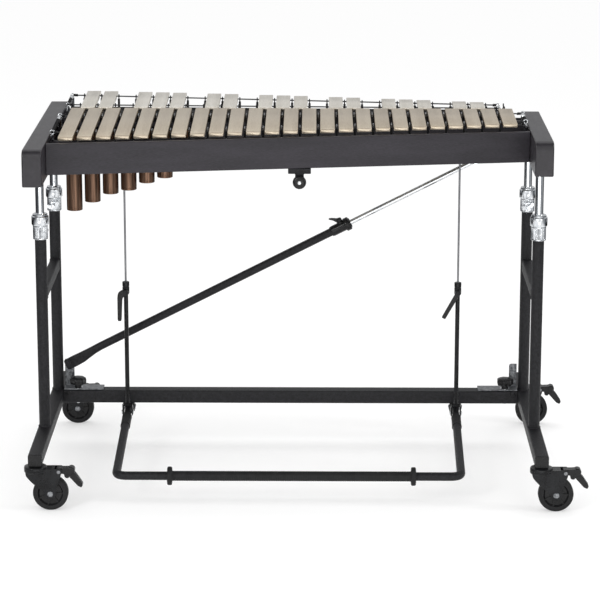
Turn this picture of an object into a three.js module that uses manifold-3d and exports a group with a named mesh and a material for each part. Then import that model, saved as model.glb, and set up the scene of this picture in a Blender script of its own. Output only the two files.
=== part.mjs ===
// Concert glockenspiel on a wheeled, height-adjustable damper stand.
// Millimetres, +Z up. X runs along the keyboard from the low bars to the high bars,
// Y runs from the player (front) to the back, and the wheels stand on Z = 0.
import * as THREE from "three";
import { mergeVertices } from "three/addons/utils/BufferGeometryUtils.js";
import Module from "manifold-3d";

const wasm = await Module();
wasm.setup();

// Small fits used all over the object
const gap = 0.3;            // between pieces that seat on each other
const slideGap = 0.35;      // round a tube that telescopes
const pinGap = 0.3;         // round a pin that turns
const weldDip = 1.5;        // how far welded members run into each other
const weldTolerance = 1e-4; // corners closer than this are one corner

// Stand plan
const legX = 545.4;         // centre of each leg frame
const frontLegY = 207.8;    // front upright
const rearLegY = 512;       // rear upright
const casterFrontY = 0;
const casterRearY = 651;

// Casters
const wheelR = 38.1;
const wheelWide = 24;
const wheelRoom = 4.8;      // from the wheel's top to the fork's crown
const crownHigh = 3;        // from the crown's underside to the housing
const housingHigh = 13.7;
const forkCrownBottom = 2 * wheelR + wheelRoom;
const housingBottom = forkCrownBottom + crownHigh;
const housingTop = housingBottom + housingHigh;
const trail = 32;
const forkGap = 1.2;
const cheekThick = 2.6;
const housingR = 24.7;
const stemR = 5.2;
const stemLong = 22.3;
const stemTop = housingTop + stemLong;
const axleR = 4;
const axleBossR = 12;
const axleBossShares = [[-1.08, 0.33], [-0.83, -0.67], [0, -1], [0.83, -0.67], [1.08, 0.33]];
const forkInset = 4;        // of the cheek's back edge from the housing's rim
const forkWaistShare = 0.557;
const forkWaistIn = 26;     // from the axle back to the waist's rear edge, over the trail
const forkWaistOut = 17;
const forkLobe = 6;         // how far the cheeks reach past the brake's pin
const forkTopHigh = 10;     // how far the cheeks lap up the housing
const brakePivotX = 51;
const brakePivotRise = 4;   // above the housing's underside
const brakePivotZ = housingBottom + brakePivotRise;
const brakePinR = 4;
const brakeHalf = 10;
const brakeReach = 52;
const brakeDrop = 38;
const brakeTopGap = 0.5;    // under the level of the housing's top
const brakeLobe = housingTop - brakeTopGap - brakePivotZ;
const brakeLowerShares = [  // along the reach, and down the drop
  [-0.115, 0.132], [0.077, 0.158], [0.308, 0.21], [0.673, 0.737], [0.865, 1], [1, 0.868],
  [0.865, 0.474], [0.596, 0.053],
];
const brakeUpperShares = [  // along the reach, and up the lobe
  [0.635, 0.435], [0.558, 1], [0.442, 0.761], [0.327, 0.707], [0.212, 1], [-0.115, 0.652],
];
const brakeSlotFront = 9;   // from the pin forward to the slot's end
const brakeSlotDeep = 5;    // how far the slot cuts up from below the crown
const slotRim = 1;          // crown left at each side of the brake's slot
const housingEdge = 3;
const housingTopEdge = 2;
const axleProud = 1.6;
const hubR = 11;
const hubRim = 1;
const hubDish = 3;          // depth of the dish between hub and tread
const treadDeep = 8;        // thickness of the tread from the rim
const treadEdge = 4;
const treadShoulder = 3;
const treadSet = 0.8;

// Feet
const footWide = 30;
const footBottom = housingTop + gap;
const footHigh = 27;
const footTop = footBottom + footHigh;
const footOver = 11.5;      // how far a foot runs past its caster
const footFront = casterFrontY - footOver;
const footRear = casterRearY + footOver;
const footCorner = 3.5;

// Uprights, telescoping legs and their clamp collars
const legTubeR = 9.53;
const uprightWall = 2.82;
const uprightR = legTubeR + slideGap + uprightWall;
const uprightLong = 472;
const uprightTop = footTop + uprightLong;
const legTubeDown = 187;    // how far a leg tube reaches down into its upright
const legTubeBottom = uprightTop - legTubeDown;
const legTubeTravel = 50;   // bore left below the tube at rest
const uprightBoreBottom = legTubeBottom - legTubeTravel;
const weldRingWide = 2.5;
const weldRingR = uprightR + weldRingWide;
const weldRingHigh = 3.5;
const weldRingRim = 1;
const stretcherDrop = 157;  // below the top of the uprights
const stretcherHigh = 26;
const stretcherTop = uprightTop - stretcherDrop;
const stretcherBottom = stretcherTop - stretcherHigh;
const stretcherWide = 22;
const stretcherCorner = 3;
const collarRise = 12.5;    // above the top of the upright
const collarHeadHigh = 26.5;
const collarHigh = 56.9;
const collarTop = uprightTop + collarRise;
const collarWaist = collarTop - collarHeadHigh;
const collarBottom = collarTop - collarHigh;
const collarWall = 3.6;
const collarHexLip = 2.6;
const collarSleeveR = uprightR + gap + collarWall;
const collarHexR = collarSleeveR + collarHexLip;
const collarChamfer = 1.6;
const collarScrewRise = 13.4; // above the collar's underside
const collarScrewZ = collarBottom + collarScrewRise;
const tubeBevel = 1;

// Wing screws of the collars
const wingShaftR = 3;
const wingStandOff = 3;     // from the sleeve to the screw's hub
const wingHubR = 6.2;
const wingHubLong = 9;
const wingSpan = 30;
const wingHigh = 11;
const wingThick = 4;

// Cross bar, its end brackets and its two clamp knobs
const crossDeep = 36;
const crossBehindLeg = 9;   // rear face behind the rear legs' centre line
const crossRear = rearLegY + crossBehindLeg;
const crossFront = crossRear - crossDeep;
const crossDrop = 1;        // of the bar's underside below the feet
const crossHigh = 30;
const crossBottom = footBottom - crossDrop;
const crossTop = crossBottom + crossHigh;
const crossCorner = 3;
const crossKnobSet = 14.5;  // behind the bar's front face
const crossKnobY = crossFront + crossKnobSet;
const crossKnobIn = { left: 47.4, right: 43.9 };   // from the legs' centre lines
const crossKnobXs = { left: crossKnobIn.left - legX, right: legX - crossKnobIn.right };
const studR = 4;
const bracketThick = 4;     // the leg that stands behind the bar
const bracketSeatThick = 3; // the leg that lies on the bar
const bracketSetBack = 4;
const studBelow = 4;        // how far a stud shows under the bar
const bracketLong = 92;     // along the top of the cross bar
const bracketRise = { left: 66, right: 57 };   // above the cross bar
const bracketIn = { left: 37.4, right: 33.4 };  // from the legs' centre lines
const knobCapR = 19.4;
const knobNeckLong = 12;    // from the bar to the cap
const knobCapHigh = 18;
const knobCapBottom = crossTop + knobNeckLong;
const knobCapTop = knobCapBottom + knobCapHigh;
const knobNeckR = 8.5;
const knobNeckWaistR = 7.5;
const knobNeckFlareR = 11.5;
const knobNeckFlare = 6;    // height of the flare below the cap
const knobCrownHigh = 5;
const knobCrownShares = [[0.845, 1], [0.82, 0.5], [0.588, 0.1]];   // of the radius and height
const knobLobes = 7;
const knobLobeDepth = 1.6;
const knobLobeSteps = 4;    // points in each lobe

// Bed: end blocks, rails and rails that carry the bars
const bedRise = 111;        // from the top of the uprights to the rails' underside
const railHigh = 68;
const railBottom = uprightTop + bedRise;
const railTop = railBottom + railHigh;
const blockTopLip = 2;      // how far the blocks stand above the front rail
const blockDrop = { left: 10, right: 6 };   // below the rails
const blockOut = { left: 19.6, right: 25.6 };   // outside the legs' centre lines
const blockIn = { left: 22.4, right: 14.9 };
const blockTop = railTop + blockTopLip;
const blockLeft = {
  x0: -legX - blockOut.left, x1: blockIn.left - legX, y0: 50, y1: 687,
  z0: railBottom - blockDrop.left, z1: blockTop,
};
const blockRight = {
  x0: legX - blockIn.right, x1: legX + blockOut.right, y0: 159, y1: 561,
  z0: railBottom - blockDrop.right, z1: blockTop,
};
const bedLeft = blockLeft.x1 + gap;
const bedRight = blockRight.x0 - gap;
const blockFrontCorner = 16;
const blockRearCorner = 9;
const blockEdge = 2.5;
const blockChamfer = 4;
const blockArcSteps = 4;
const legSocketCover = 54;  // wood left above a leg's socket
const legSocketTop = blockTop - legSocketCover;
const railSlopeShare = 0.1534;   // the front rail runs back towards the high end
const railFaceY = 215.5;
const railThick = 12;
const rearRailGap = 5;      // behind the rail that carries the rear ends of the accidentals
const rearRailHigh = 48;
const rearRailTop = railBottom + rearRailHigh;
const supportThick = 9;
const supportDrop = 10;     // below the front rail's top
const supportHigh = 28;
const supportTop = railTop - supportDrop;
const supportBottom = supportTop - supportHigh;

// Bars
const naturalCount = 25;
const barWide = 31.75;
const barRoom = { left: 40.2, right: 43.1 };   // from an end block to the first bar's centre
const firstNaturalX = bedLeft + barRoom.left;
const barPitch = (bedRight - barRoom.right - firstNaturalX) / (naturalCount - 1);
const barThick = 8.5;
const naturalFrontY = 236;
const naturalRear = 480;
const rowGap = 8;           // between the inner ends of the two rows
const accidentalFront = naturalRear + rowGap;
const accidentalMiddleLong = 136.5;
const accidentalRearY = accidentalFront + accidentalMiddleLong;
const accidentalRearSlopeShare = -0.1411;
const accidentalRearBow = 13.9;  // how far the rear ends bow forward at each end of the bow's span
const accidentalBowHalf = 485;
const accidentalLineInset = 5;   // the straight cord cuts inside the curve of the rear ends
const accidentalSlots = [0, 1, 3, 4, 5, 7, 8, 10, 11, 12, 14, 15, 17, 18, 19, 21, 22];
const nodeShare = 0.224;    // nodal line, as a share of a bar's length from its end
const barRakeShare = 0.0323;     // rise of the bars towards the back
const rakeFromY = 163.5;
const barRise = 10.8;       // of the bars' top above the front rail, where the rake begins
const barTopZ = railTop + barRise;
const cordR = 1.5;
const cordFacets = 6;
const postWide = 4;
const postDeep = 5.4;
const postRise = 3.6;       // how far a post stands above the cord it holds
const notchWide = 2 * cordR + 2 * gap;
const cordOverrun = 16;

// Damper
const damperUnder = { front: 30, rear: 8 };   // how far the felt reaches under each row
const damperFront = naturalRear - damperUnder.front;
const damperRear = accidentalFront + damperUnder.rear;
const damperRoom = { left: 19.7, right: 27.2 };   // from an end block
const damperLeft = bedLeft + damperRoom.left;
const damperRight = bedRight - damperRoom.right;
const damperRailThick = 11;
const feltThick = 8;
const rodSet = 5;           // behind the damper's front edge
const rodPlaneY = damperFront + rodSet;
const rodInset = { left: 124, right: 118 };   // from the damper's ends
const rodXs = { left: damperLeft + rodInset.left, right: damperRight - rodInset.right };
const thinRodR = 2.3;
const rodTubeR = 4.3;
const rodClampR = 7.2;
const clampLean = { left: 2, right: 29 };
const ferruleWall = 2.2;
const ferruleR = thinRodR + ferruleWall;
const ferruleLong = 8;
const rodTopGap = 1;
const clampTaper = 4;
const clampFootWall = 1;
const clampFootR = rodTubeR + clampFootWall;
const clampMouthR = 4.8;
const forkThick = 3;
const forkSideGap = 0.8;
const forkHalfDeep = 6;
const forkRise = 22;        // from the pin to the top of the fork
const forkCrown = 6;        // thickness of the fork over its slot
const forkShoulder = 3;
const forkBelowPin = 7;
const forkPinR = 3;
const forkPinProud = 2.5;
const rodBoreBelow = 60;    // how far the bore goes on below the thin rod
const clampScrewR = 2.5;
const clampHubR = 6.2;
const clampHubLong = 10;
const clampScrewProud = 3;
const handleThick = 6;
const handleStart = 9;
const handleHalf = 4.6;
const handleLong = 63;
const handleShares = [      // across the half width, and down the length
  [-1, -0.03], [1, -0.03], [0.96, 0.48], [0.83, 0.92], [0.3, 1], [-0.3, 1], [-0.83, 0.92],
  [-0.96, 0.48],
];

// Pedal
const hingeSet = 18;        // behind the cross bar's front face
const hingeY = crossFront + hingeSet;
const hingeDrop = 13;       // of the hinge pins below the cross bar
const hingeZ = crossBottom - hingeDrop;
const jointZ = hingeZ;
const thinRodRise = 81;     // from the pedal's joint to the thin rod's lower end
const rodTubeLong = 282;
const rodClampHigh = 31;
const clampScrewRise = 8;
const thinRodBottom = jointZ + thinRodRise;
const rodTubeTop = jointZ + rodTubeLong;
const rodClampTop = rodTubeTop + rodClampHigh;
const clampScrewZ = rodTubeTop + clampScrewRise;
const pedalTubeR = 8.25;
const pedalArmIn = 3;       // inside the left pull rod
const pedalArmX = -rodXs.left - pedalArmIn;
const hingeSide = { left: 0.4, right: 0.8 };   // outside the pull rods
const pedalHingeXs = { left: rodXs.left - hingeSide.left, right: rodXs.right + hingeSide.right };
const pedalFrontY = 48;
const pedalFall = 24;       // of the pedal's front tube below its hinge
const pedalFrontZ = hingeZ - pedalFall;
const pedalBendR = 24;
const pedalFacets = 12;
const eyeR = 9;
const eyeHalf = 9.5;
const eyeSideGap = 1;
const hingePinR = 4;
const hingePinProud = 3;
const hingeThick = 3;
const hingeHalfDeep = 11;
const hingeBelowPin = 9;
const linkHoleR = 3.6;      // hole in an arm for the pull rod's pin
const sleeveIn = { left: 112, right: 99 };   // from the pedal's arms
const sleeveX = { left: sleeveIn.left - pedalArmX, right: pedalArmX - sleeveIn.right };
const sleeveR = 10.4;
const ringR = 19.5;
const ringThick = 5;

// Diagonal brace
const braceSet = 8.5;       // in front of the cross bar's rear face
const braceY = crossRear - braceSet;
const bracePivotIn = 25.4;  // from the left legs' centre line
const bracePivotRise = 62;  // above the cross bar
const bracePivot = { x: bracePivotIn - legX, z: crossTop + bracePivotRise };
const hangerDrop = 56.85;   // from the supports down to the upper bolt
const braceTopIn = 85.2;    // from the right end block
const braceTop = { x: bedRight - braceTopIn, z: supportBottom - hangerDrop };
const braceOuterR = 8.2;
const braceWall = 1.85;
const braceInnerR = braceOuterR - braceWall - slideGap;
const braceClampShare = 0.66;
const braceBoltR = 3.2;
const braceEyeClear = 3.8;  // room for the small error of the opened linkage
const bracePinFront = 9;    // from the brace's plane to the end of the pin's shank
const bracePinHead = 3.5;
const bracePinTip = 12;
const braceFlatLong = 84;   // the foot is flattened over this length
const braceFlatHigh = 12;   // half height of the flattened foot
const braceFlatDeep = 2.6;  // half thickness of the flattened foot
const braceFlatDrop = 3.5;
const braceFlatShares = [
  { at: -0.107, high: 0.83, deep: 1, drop: 0.86 },
  { at: 0.19, high: 1, deep: 1, drop: 1 },
  { at: 0.405, high: 1, deep: 1.31, drop: 1 },
];
const braceHeadWalls = { neck: 1, body: 3, lip: 5, mouth: 2 };
const braceHeadLong = 50;
const braceHeadShares = { start: -0.52, body: -0.4, bodyEnd: 0.16, lip: 0.2, lipEnd: 0.44, end: 0.48 };
const braceBoreShare = 0.32;
const braceInnerShare = 0.36;
const tongueLong = 26;
const tongueThick = 5;
const tongueHalf = 11;
const tongueShares = [      // along from the eye, and across, for the upper half
  [0.46, 0.545], [0.23, 1], [-0.346, 1], [-1, 0.727], [-1.31, 0.4545],
];
const braceScrewR = 2.5;
const braceScrewShift = 2;
const braceHubR = 5;
const braceHubHigh = 8;
const braceHandleWide = 7;
const braceHandleLong = 26;
const braceHandleHigh = 18;
const braceHandleShares = [ // along from the screw, and up from the collar
  [0.154, 0.111], [0.154, 0.417], [-0.462, 0.667], [-0.923, 1], [-1, 0.833], [-0.538, 0.389],
];
const hangerHalf = 12;
const hangerCheekY = 3.4;
const hangerThick = 3;
const hangerBelowBolt = 12;
const hangerBoltProud = 3;

// Resonators under the seven lowest naturals
const resonatorR = 17.75;
const resonatorWall = 1.6;
const resonatorTop = supportTop;
const resonatorLong = 178;
const resonatorShares = [1, 0.893, 0.792, 0.747, 0.657, 0.596, 0.511];   // of the longest
const resonatorStripRise = 6;   // above the supports' underside
const resonatorStripZ = supportBottom + resonatorStripRise;
const resonatorStripThick = 3;
const resonatorSetBack = 28; // the tubes hang behind the middle of their bars
const resonatorCap = 3;
const resonatorEdge = 1;

// Knob under the front rail
const frontKnobX = 22;

const frontKnobR = 14.9;
const frontPlateHalf = 25;
const frontPlateHigh = 11.7;
const frontPlateBottom = railBottom - gap - frontPlateHigh;
const frontKnobDrop = 17;
const frontKnobZ = frontPlateBottom - frontKnobDrop;
const frontPlateProud = 2;  // how much thicker than the rail the plate is
const frontNeckHalf = 9.5;
const frontNeckEndHalf = 5;
const frontNeckTaper = 3.5;
const frontShaftR = 3;
const frontNutR = 5.5;
const frontNutBehind = 4;
const frontKnobHigh = 16.4;
const frontKnobShares = [   // of the radius, and of the height from the plate
  [0.537, 0], [0.604, 0.183], [1, 0.244], [1, 0.671], [0.832, 0.854], [0.336, 0.915], [0.295, 1],
];

// Facets round a full circle
const coarse = 8;
const round = 12;
const smooth = 16;
const fine = 24;
const hexagon = 6;

const steelBlack = { color: 0x3b3b3d, roughness: 0.6, metalness: 0.35 };
const chrome = { color: 0xd8dadc, roughness: 0.12, metalness: 1 };
const blackPlastic = { color: 0x1b1b1c, roughness: 0.45, metalness: 0 };
const rubber = { color: 0x222223, roughness: 0.8, metalness: 0 };
const charcoal = { color: 0x46464b, roughness: 0.55, metalness: 0 };
const barMetal = { color: 0xc2b9a6, roughness: 0.3, metalness: 0.9 };
const copperBrown = { color: 0x6d4a37, roughness: 0.35, metalness: 0.8 };
const feltGrey = { color: 0x2e2e30, roughness: 1, metalness: 0 };

// Solids

function solid(geometry) {
  geometry.deleteAttribute("normal");
  geometry.deleteAttribute("uv");
  const merged = mergeVertices(geometry, weldTolerance);
  return new wasm.Manifold(new wasm.Mesh({
    numProp: 3,
    vertProperties: new Float32Array(merged.attributes.position.array),
    triVerts: new Uint32Array(merged.index.array),
  }));
}

function join(list) {
  return list.reduce((sum, item) => sum.add(item));
}

function outline(points) {
  return new THREE.Shape(points.map(([x, y]) => new THREE.Vector2(x, y)));
}

function extrude(shape, length, curveSegments = round) {
  return new THREE.ExtrudeGeometry(shape, { depth: length, bevelEnabled: false, curveSegments });
}

// A closed outline in X and Y, standing from z0 to z1
function upright(points, z0, z1) {
  return solid(extrude(outline(points), z1 - z0).translate(0, 0, z0));
}

// An outline in X and Z, running from y0 back to y1
function alongY(points, y0, y1) {
  const geometry = extrude(outline(points.map(([x, z]) => [x, -z])), y1 - y0);
  const turn = new THREE.Matrix4().set(1, 0, 0, 0, 0, 0, 1, y0, 0, -1, 0, 0, 0, 0, 0, 1);
  return solid(geometry.applyMatrix4(turn));
}

// An outline in Y and Z, running from x0 to x1
function alongX(points, x0, x1) {
  const geometry = extrude(outline(points), x1 - x0);
  const turn = new THREE.Matrix4().set(0, 0, 1, x0, 1, 0, 0, 0, 0, 1, 0, 0, 0, 0, 0, 1);
  return solid(geometry.applyMatrix4(turn));
}

function roundedBox(half0, half1, corner, steps = 2) {
  const points = [];
  for (let quarter = 0; quarter < 4; quarter += 1) {
    const sx = quarter === 0 || quarter === 3 ? 1 : -1;
    const sy = quarter < 2 ? 1 : -1;
    for (let step = 0; step <= steps; step += 1) {
      const angle = (quarter + step / steps) * Math.PI / 2;
      points.push([
        sx * (half0 - corner) + corner * Math.cos(angle),
        sy * (half1 - corner) + corner * Math.sin(angle),
      ]);
    }
  }
  return points;
}

function shifted(points, dx, dy) {
  return points.map(([x, y]) => [x + dx, y + dy]);
}

// A turned part about the Z axis from [radius, z] pairs that start and end on the axis
function turned(profile, segments = round) {
  const points = profile.map(([r, z]) => new THREE.Vector2(r, z));
  return solid(new THREE.LatheGeometry(points, segments).rotateX(Math.PI / 2));
}

// A turned ring about the Z axis: the profile closes on itself away from the axis
function turnedRing(profile, segments = round) {
  return turned([...profile, profile[0]], segments);
}

function rod(radius, z0, z1, segments = round) {
  const geometry = new THREE.CylinderGeometry(radius, radius, z1 - z0, segments);
  return solid(geometry.rotateX(Math.PI / 2).translate(0, 0, (z0 + z1) / 2));
}

const toX = [0, 90, 0];
const toY = [-90, 0, 0];

function rodX(radius, x0, x1, y, z, segments = round) {
  return rod(radius, x0, x1, segments).rotate(toX).translate([0, y, z]);
}

function rodY(radius, y0, y1, x, z, segments = round) {
  return rod(radius, y0, y1, segments).rotate(toY).translate([x, 0, z]);
}

// A bent tube's centre line: straight runs joined by arcs, sampled where it turns
class BentLine extends THREE.Curve {
  constructor(corners, bend, arcSteps) {
    super();
    this.stations = [{ point: corners[0], tangent: corners[1].clone().sub(corners[0]).normalize() }];
    for (let i = 1; i < corners.length - 1; i += 1) {
      this.turn(corners[i - 1], corners[i], corners[i + 1], bend, arcSteps);
    }
    const end = corners[corners.length - 1];
    const last = corners[corners.length - 2];
    this.stations.push({ point: end, tangent: end.clone().sub(last).normalize() });
  }

  turn(before, corner, after, bend, arcSteps) {
    const into = corner.clone().sub(before).normalize();
    const away = after.clone().sub(corner).normalize();
    const angle = into.angleTo(away);
    const reach = bend * Math.tan(angle / 2);
    const start = corner.clone().addScaledVector(into, -reach);
    const side = away.clone().addScaledVector(into, -away.dot(into)).normalize();
    for (let step = 0; step <= arcSteps; step += 1) {
      const a = angle * step / arcSteps;
      const point = start.clone().addScaledVector(into, bend * Math.sin(a))
        .addScaledVector(side, bend * (1 - Math.cos(a)));
      const tangent = into.clone().multiplyScalar(Math.cos(a)).addScaledVector(side, Math.sin(a));
      this.stations.push({ point, tangent });
    }
  }

  get steps() {
    return this.stations.length - 1;
  }

  getPointAt(u) {
    return this.stations[Math.round(u * this.steps)].point.clone();
  }

  getTangentAt(u) {
    return this.stations[Math.round(u * this.steps)].tangent.clone();
  }
}

function bentTube(corners, radius, bend, segments = coarse, arcSteps = 5) {
  const line = new BentLine(corners.map((c) => new THREE.Vector3(...c)), bend, arcSteps);
  const section = outline(ringPoints(radius, segments));
  const geometry = new THREE.ExtrudeGeometry(section, {
    steps: line.steps, extrudePath: line, bevelEnabled: false,
  });
  return solid(geometry);
}

function ringPoints(radius, segments) {
  return Array.from({ length: segments }, (_, i) => {
    const angle = 2 * Math.PI * i / segments;
    return [radius * Math.cos(angle), radius * Math.sin(angle)];
  });
}

// A straight bar of round section between two points
function strut(from, to, radius, segments = coarse) {
  const a = new THREE.Vector3(...from);
  const b = new THREE.Vector3(...to);
  const geometry = new THREE.CylinderGeometry(radius, radius, a.distanceTo(b), segments);
  const turn = new THREE.Quaternion().setFromUnitVectors(
    new THREE.Vector3(0, 1, 0), b.clone().sub(a).normalize());
  const middle = a.clone().add(b).multiplyScalar(1 / 2);
  return solid(geometry.applyQuaternion(turn).translate(middle.x, middle.y, middle.z));
}

// Stand

function legFrame(side) {
  const x = side * legX;
  const footMid = (footBottom + footTop) / 2;
  const footShape = shifted(
    roundedBox(footWide / 2, (footTop - footBottom) / 2, footCorner), x, footMid);
  const bars = [alongY(footShape, footFront, footRear)];
  for (const y of [frontLegY, rearLegY]) {
    bars.push(rod(uprightR, footTop - weldDip, uprightTop, smooth).translate([x, y, 0]));
    bars.push(turned([
      [0, footTop - weldDip], [weldRingR, footTop - weldDip], [weldRingR, footTop + weldRingRim],
      [uprightR, footTop + weldRingHigh], [0, footTop + weldRingHigh],
    ], smooth).translate([x, y, 0]));
  }
  const stretcher = shifted(
    roundedBox(stretcherWide / 2, (stretcherTop - stretcherBottom) / 2, stretcherCorner, 1),
    x, (stretcherBottom + stretcherTop) / 2);
  const reach = uprightR - weldDip;
  bars.push(alongY(stretcher, frontLegY + reach, rearLegY - reach));
  let frame = join(bars);
  for (const y of [frontLegY, rearLegY]) {
    const bore = rod(legTubeR + slideGap, uprightBoreBottom, uprightTop + gap, round);
    frame = frame.subtract(bore.translate([x, y, 0]));
  }
  for (const y of [casterFrontY, casterRearY]) {
    const bore = rod(stemR + gap, footBottom - gap, stemTop + gap, round);
    frame = frame.subtract(bore.translate([x, y, 0]));
  }
  return frame;
}

// The collar grips the top of an upright and pinches the tube that slides in it
function legCollar(side, y, towards) {
  const step = uprightTop + gap;
  const sleeve = turnedRing([
    [uprightR + gap, collarBottom], [collarSleeveR, collarBottom],
    [collarSleeveR, collarWaist + weldDip], [legTubeR + slideGap, collarWaist + weldDip],
    [legTubeR + slideGap, collarWaist], [uprightR + gap, collarWaist],
  ], smooth);
  const head = turned([
    [0, collarWaist], [collarHexR - collarChamfer, collarWaist],
    [collarHexR, collarWaist + collarChamfer], [collarHexR, collarTop - collarChamfer],
    [collarHexR - collarChamfer, collarTop], [0, collarTop],
  ], round);
  let collar = sleeve.add(head);
  collar = collar.subtract(rod(uprightR + gap, collarBottom - gap, step, smooth));
  collar = collar.subtract(rod(legTubeR + slideGap, collarBottom, collarTop + gap, round));
  const hole = rodY(wingShaftR + pinGap, 0, collarHexR + gap, 0, collarScrewZ, coarse);
  collar = collar.subtract(towards < 0 ? hole.mirror([0, 1, 0]) : hole);
  return collar.translate([side * legX, y, 0]);
}

function collarScrew(side, y, towards) {
  const tip = uprightR + gap;
  const headStart = collarSleeveR + wingStandOff;
  const shaft = rodY(wingShaftR, tip, headStart + weldDip, 0, 0, coarse);
  const hub = rodY(wingHubR, headStart, headStart + wingHubLong, 0, 0, coarse);
  const wingStart = headStart + wingHubLong / 2;
  const half = wingSpan / 2;
  const wings = alongY([
    [-half, wingHigh / 2], [-half, -wingHigh / 6], [-wingHubR, -wingHigh / 2],
    [wingHubR, -wingHigh / 2], [half, -wingHigh / 6], [half, wingHigh / 2],
    [wingHubR, wingHigh / 4], [-wingHubR, wingHigh / 4],
  ], wingStart, wingStart + wingThick);
  const screw = join([shaft, hub, wings]);
  const facing = towards < 0 ? screw.rotate([0, 0, 180]) : screw;
  return facing.translate([side * legX, y, collarScrewZ]);
}

function legTube(side, y) {
  const top = legSocketTop - gap;
  const endR = legTubeR - tubeBevel;
  return turned([
    [0, legTubeBottom], [endR, legTubeBottom], [legTubeR, legTubeBottom + tubeBevel],
    [legTubeR, top - tubeBevel], [endR, top], [0, top],
  ], round).translate([side * legX, y, 0]);
}

function crossBar() {
  const reach = legX - footWide / 2 - gap;
  const midY = (crossFront + crossRear) / 2;
  const midZ = (crossBottom + crossTop) / 2;
  const shape = shifted(
    roundedBox((crossRear - crossFront) / 2, (crossTop - crossBottom) / 2, crossCorner), midY, midZ);
  let bar = alongX(shape, -reach, reach);
  for (const x of Object.values(crossKnobXs)) {
    bar = bar.subtract(rod(studR + 2 * pinGap, crossBottom - gap, crossTop + gap, coarse)
      .translate([x, crossKnobY, 0]));
  }
  return bar;
}

// Angle bracket: one leg under the knob on top of the cross bar, the other standing behind it
function crossBracket(side, name) {
  const inner = side * (legX - bracketIn[name]);
  const top = crossTop + bracketRise[name];
  const outer = side * (legX - weldRingR - gap);
  const start = crossRear + gap;
  const legX0 = Math.min(outer, inner);
  const legX1 = Math.max(outer, inner);
  const plateEnd = outer - side * bracketLong;
  const seat = crossTop + gap;
  const front = crossFront + bracketSetBack;
  const standing = alongY([
    [legX0, crossBottom], [legX1, crossBottom], [legX1, top], [legX0, top],
  ], start, start + bracketThick);
  const lying = upright([
    [Math.min(outer, plateEnd), front], [Math.max(outer, plateEnd), front],
    [Math.max(outer, plateEnd), start + bracketThick], [Math.min(outer, plateEnd), start + bracketThick],
  ], seat, seat + bracketSeatThick);
  const hole = rod(studR + 2 * pinGap, seat - gap, seat + bracketSeatThick + gap, coarse)
    .translate([crossKnobXs[name], crossKnobY, 0]);
  return standing.add(lying).subtract(hole);
}

// Bracket that also holds the pin of the diagonal brace
function braceBracket() {
  const plate = crossBracket(-1, "left");
  const { x, z } = bracePivot;
  const tip = braceY - bracePinTip;
  const pin = rodY(braceBoltR, braceY - bracePinFront, crossRear + gap + weldDip, x, z, round);
  const head = rodY(braceBoltR * 2, tip, tip + bracePinHead, x, z, hexagon);
  return join([plate, pin, head]);
}

// Lobed hand knob with its stud pointing down
function crossKnob(x) {
  const seat = crossTop + gap + bracketSeatThick + gap;
  const count = knobLobes * knobLobeSteps;
  const points = Array.from({ length: count }, (_, i) => {
    const angle = 2 * Math.PI * i / count;
    const radius = knobCapR - knobLobeDepth * (1 - Math.cos(angle * knobLobes)) / 2;
    return [radius * Math.cos(angle), radius * Math.sin(angle)];
  });
  const crownFoot = knobCapTop - knobCrownHigh;
  const profile = knobCrownShares.map(([r, drop]) => [
    r * knobCapR, knobCapTop - drop * knobCrownHigh,
  ]);
  const cap = upright(points, knobCapBottom, crownFoot + weldDip);
  const crown = turned([[0, crownFoot], ...profile, [0, knobCapTop]], smooth);
  const neck = turned([
    [0, seat], [knobNeckR, seat], [knobNeckWaistR, knobCapBottom + weldDip - knobNeckFlare],
    [knobNeckFlareR, knobCapBottom + weldDip], [0, knobCapBottom + weldDip],
  ], round);
  const stud = rod(studR, crossBottom - studBelow, seat + weldDip, coarse);
  return join([cap, crown, neck, stud]).translate([x, crossKnobY, 0]);
}

// Bed

function blockOutline(block, rounding) {
  const low = block.z0 + blockChamfer;
  const points = [
    [block.y0 + blockChamfer, block.z0], [block.y1 - blockChamfer, block.z0], [block.y1, low],
  ];
  const corners = [
    { y: block.y1 - blockRearCorner, r: blockRearCorner, from: 0 },
    { y: block.y0 + blockFrontCorner, r: blockFrontCorner, from: Math.PI / 2 },
  ];
  for (const corner of corners) {
    for (let step = 0; step <= rounding; step += 1) {
      const angle = corner.from + step / rounding * Math.PI / 2;
      points.push([
        corner.y + corner.r * Math.cos(angle), block.z1 - corner.r + corner.r * Math.sin(angle),
      ]);
    }
  }
  points.push([block.y0, low]);
  return points;
}

function endBlock(side, block) {
  const shape = outline(blockOutline(block, blockArcSteps));
  const geometry = new THREE.ExtrudeGeometry(shape, {
    depth: block.x1 - block.x0 - 2 * blockEdge, bevelEnabled: true, bevelThickness: blockEdge,
    bevelSize: blockEdge, bevelOffset: -blockEdge, bevelSegments: 2,
  });
  const turn = new THREE.Matrix4()
    .set(0, 0, 1, block.x0 + blockEdge, 1, 0, 0, 0, 0, 1, 0, 0, 0, 0, 0, 1);
  let body = solid(geometry.applyMatrix4(turn));
  for (const y of [frontLegY, rearLegY]) {
    const socket = rod(legTubeR + gap, block.z0 - gap, legSocketTop, round);
    body = body.subtract(socket.translate([side * legX, y, 0]));
  }
  return body;
}

function slopeOf(line) {
  return (line(bedRight) - line(bedLeft)) / (bedRight - bedLeft);
}

// A straight board between the end blocks whose centre line is y = at + slope * x
function slantedBoard(at, slope, thick, z0, z1) {
  const half = thick / 2 * Math.hypot(1, slope);
  const y = (x) => at + slope * x;
  return upright([
    [bedLeft, y(bedLeft) - half], [bedRight, y(bedRight) - half],
    [bedRight, y(bedRight) + half], [bedLeft, y(bedLeft) + half],
  ], z0, z1);
}

function frontRail() {
  return slantedBoard(railFaceY + railThick / 2, railSlopeShare, railThick, railBottom, railTop);
}

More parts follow.
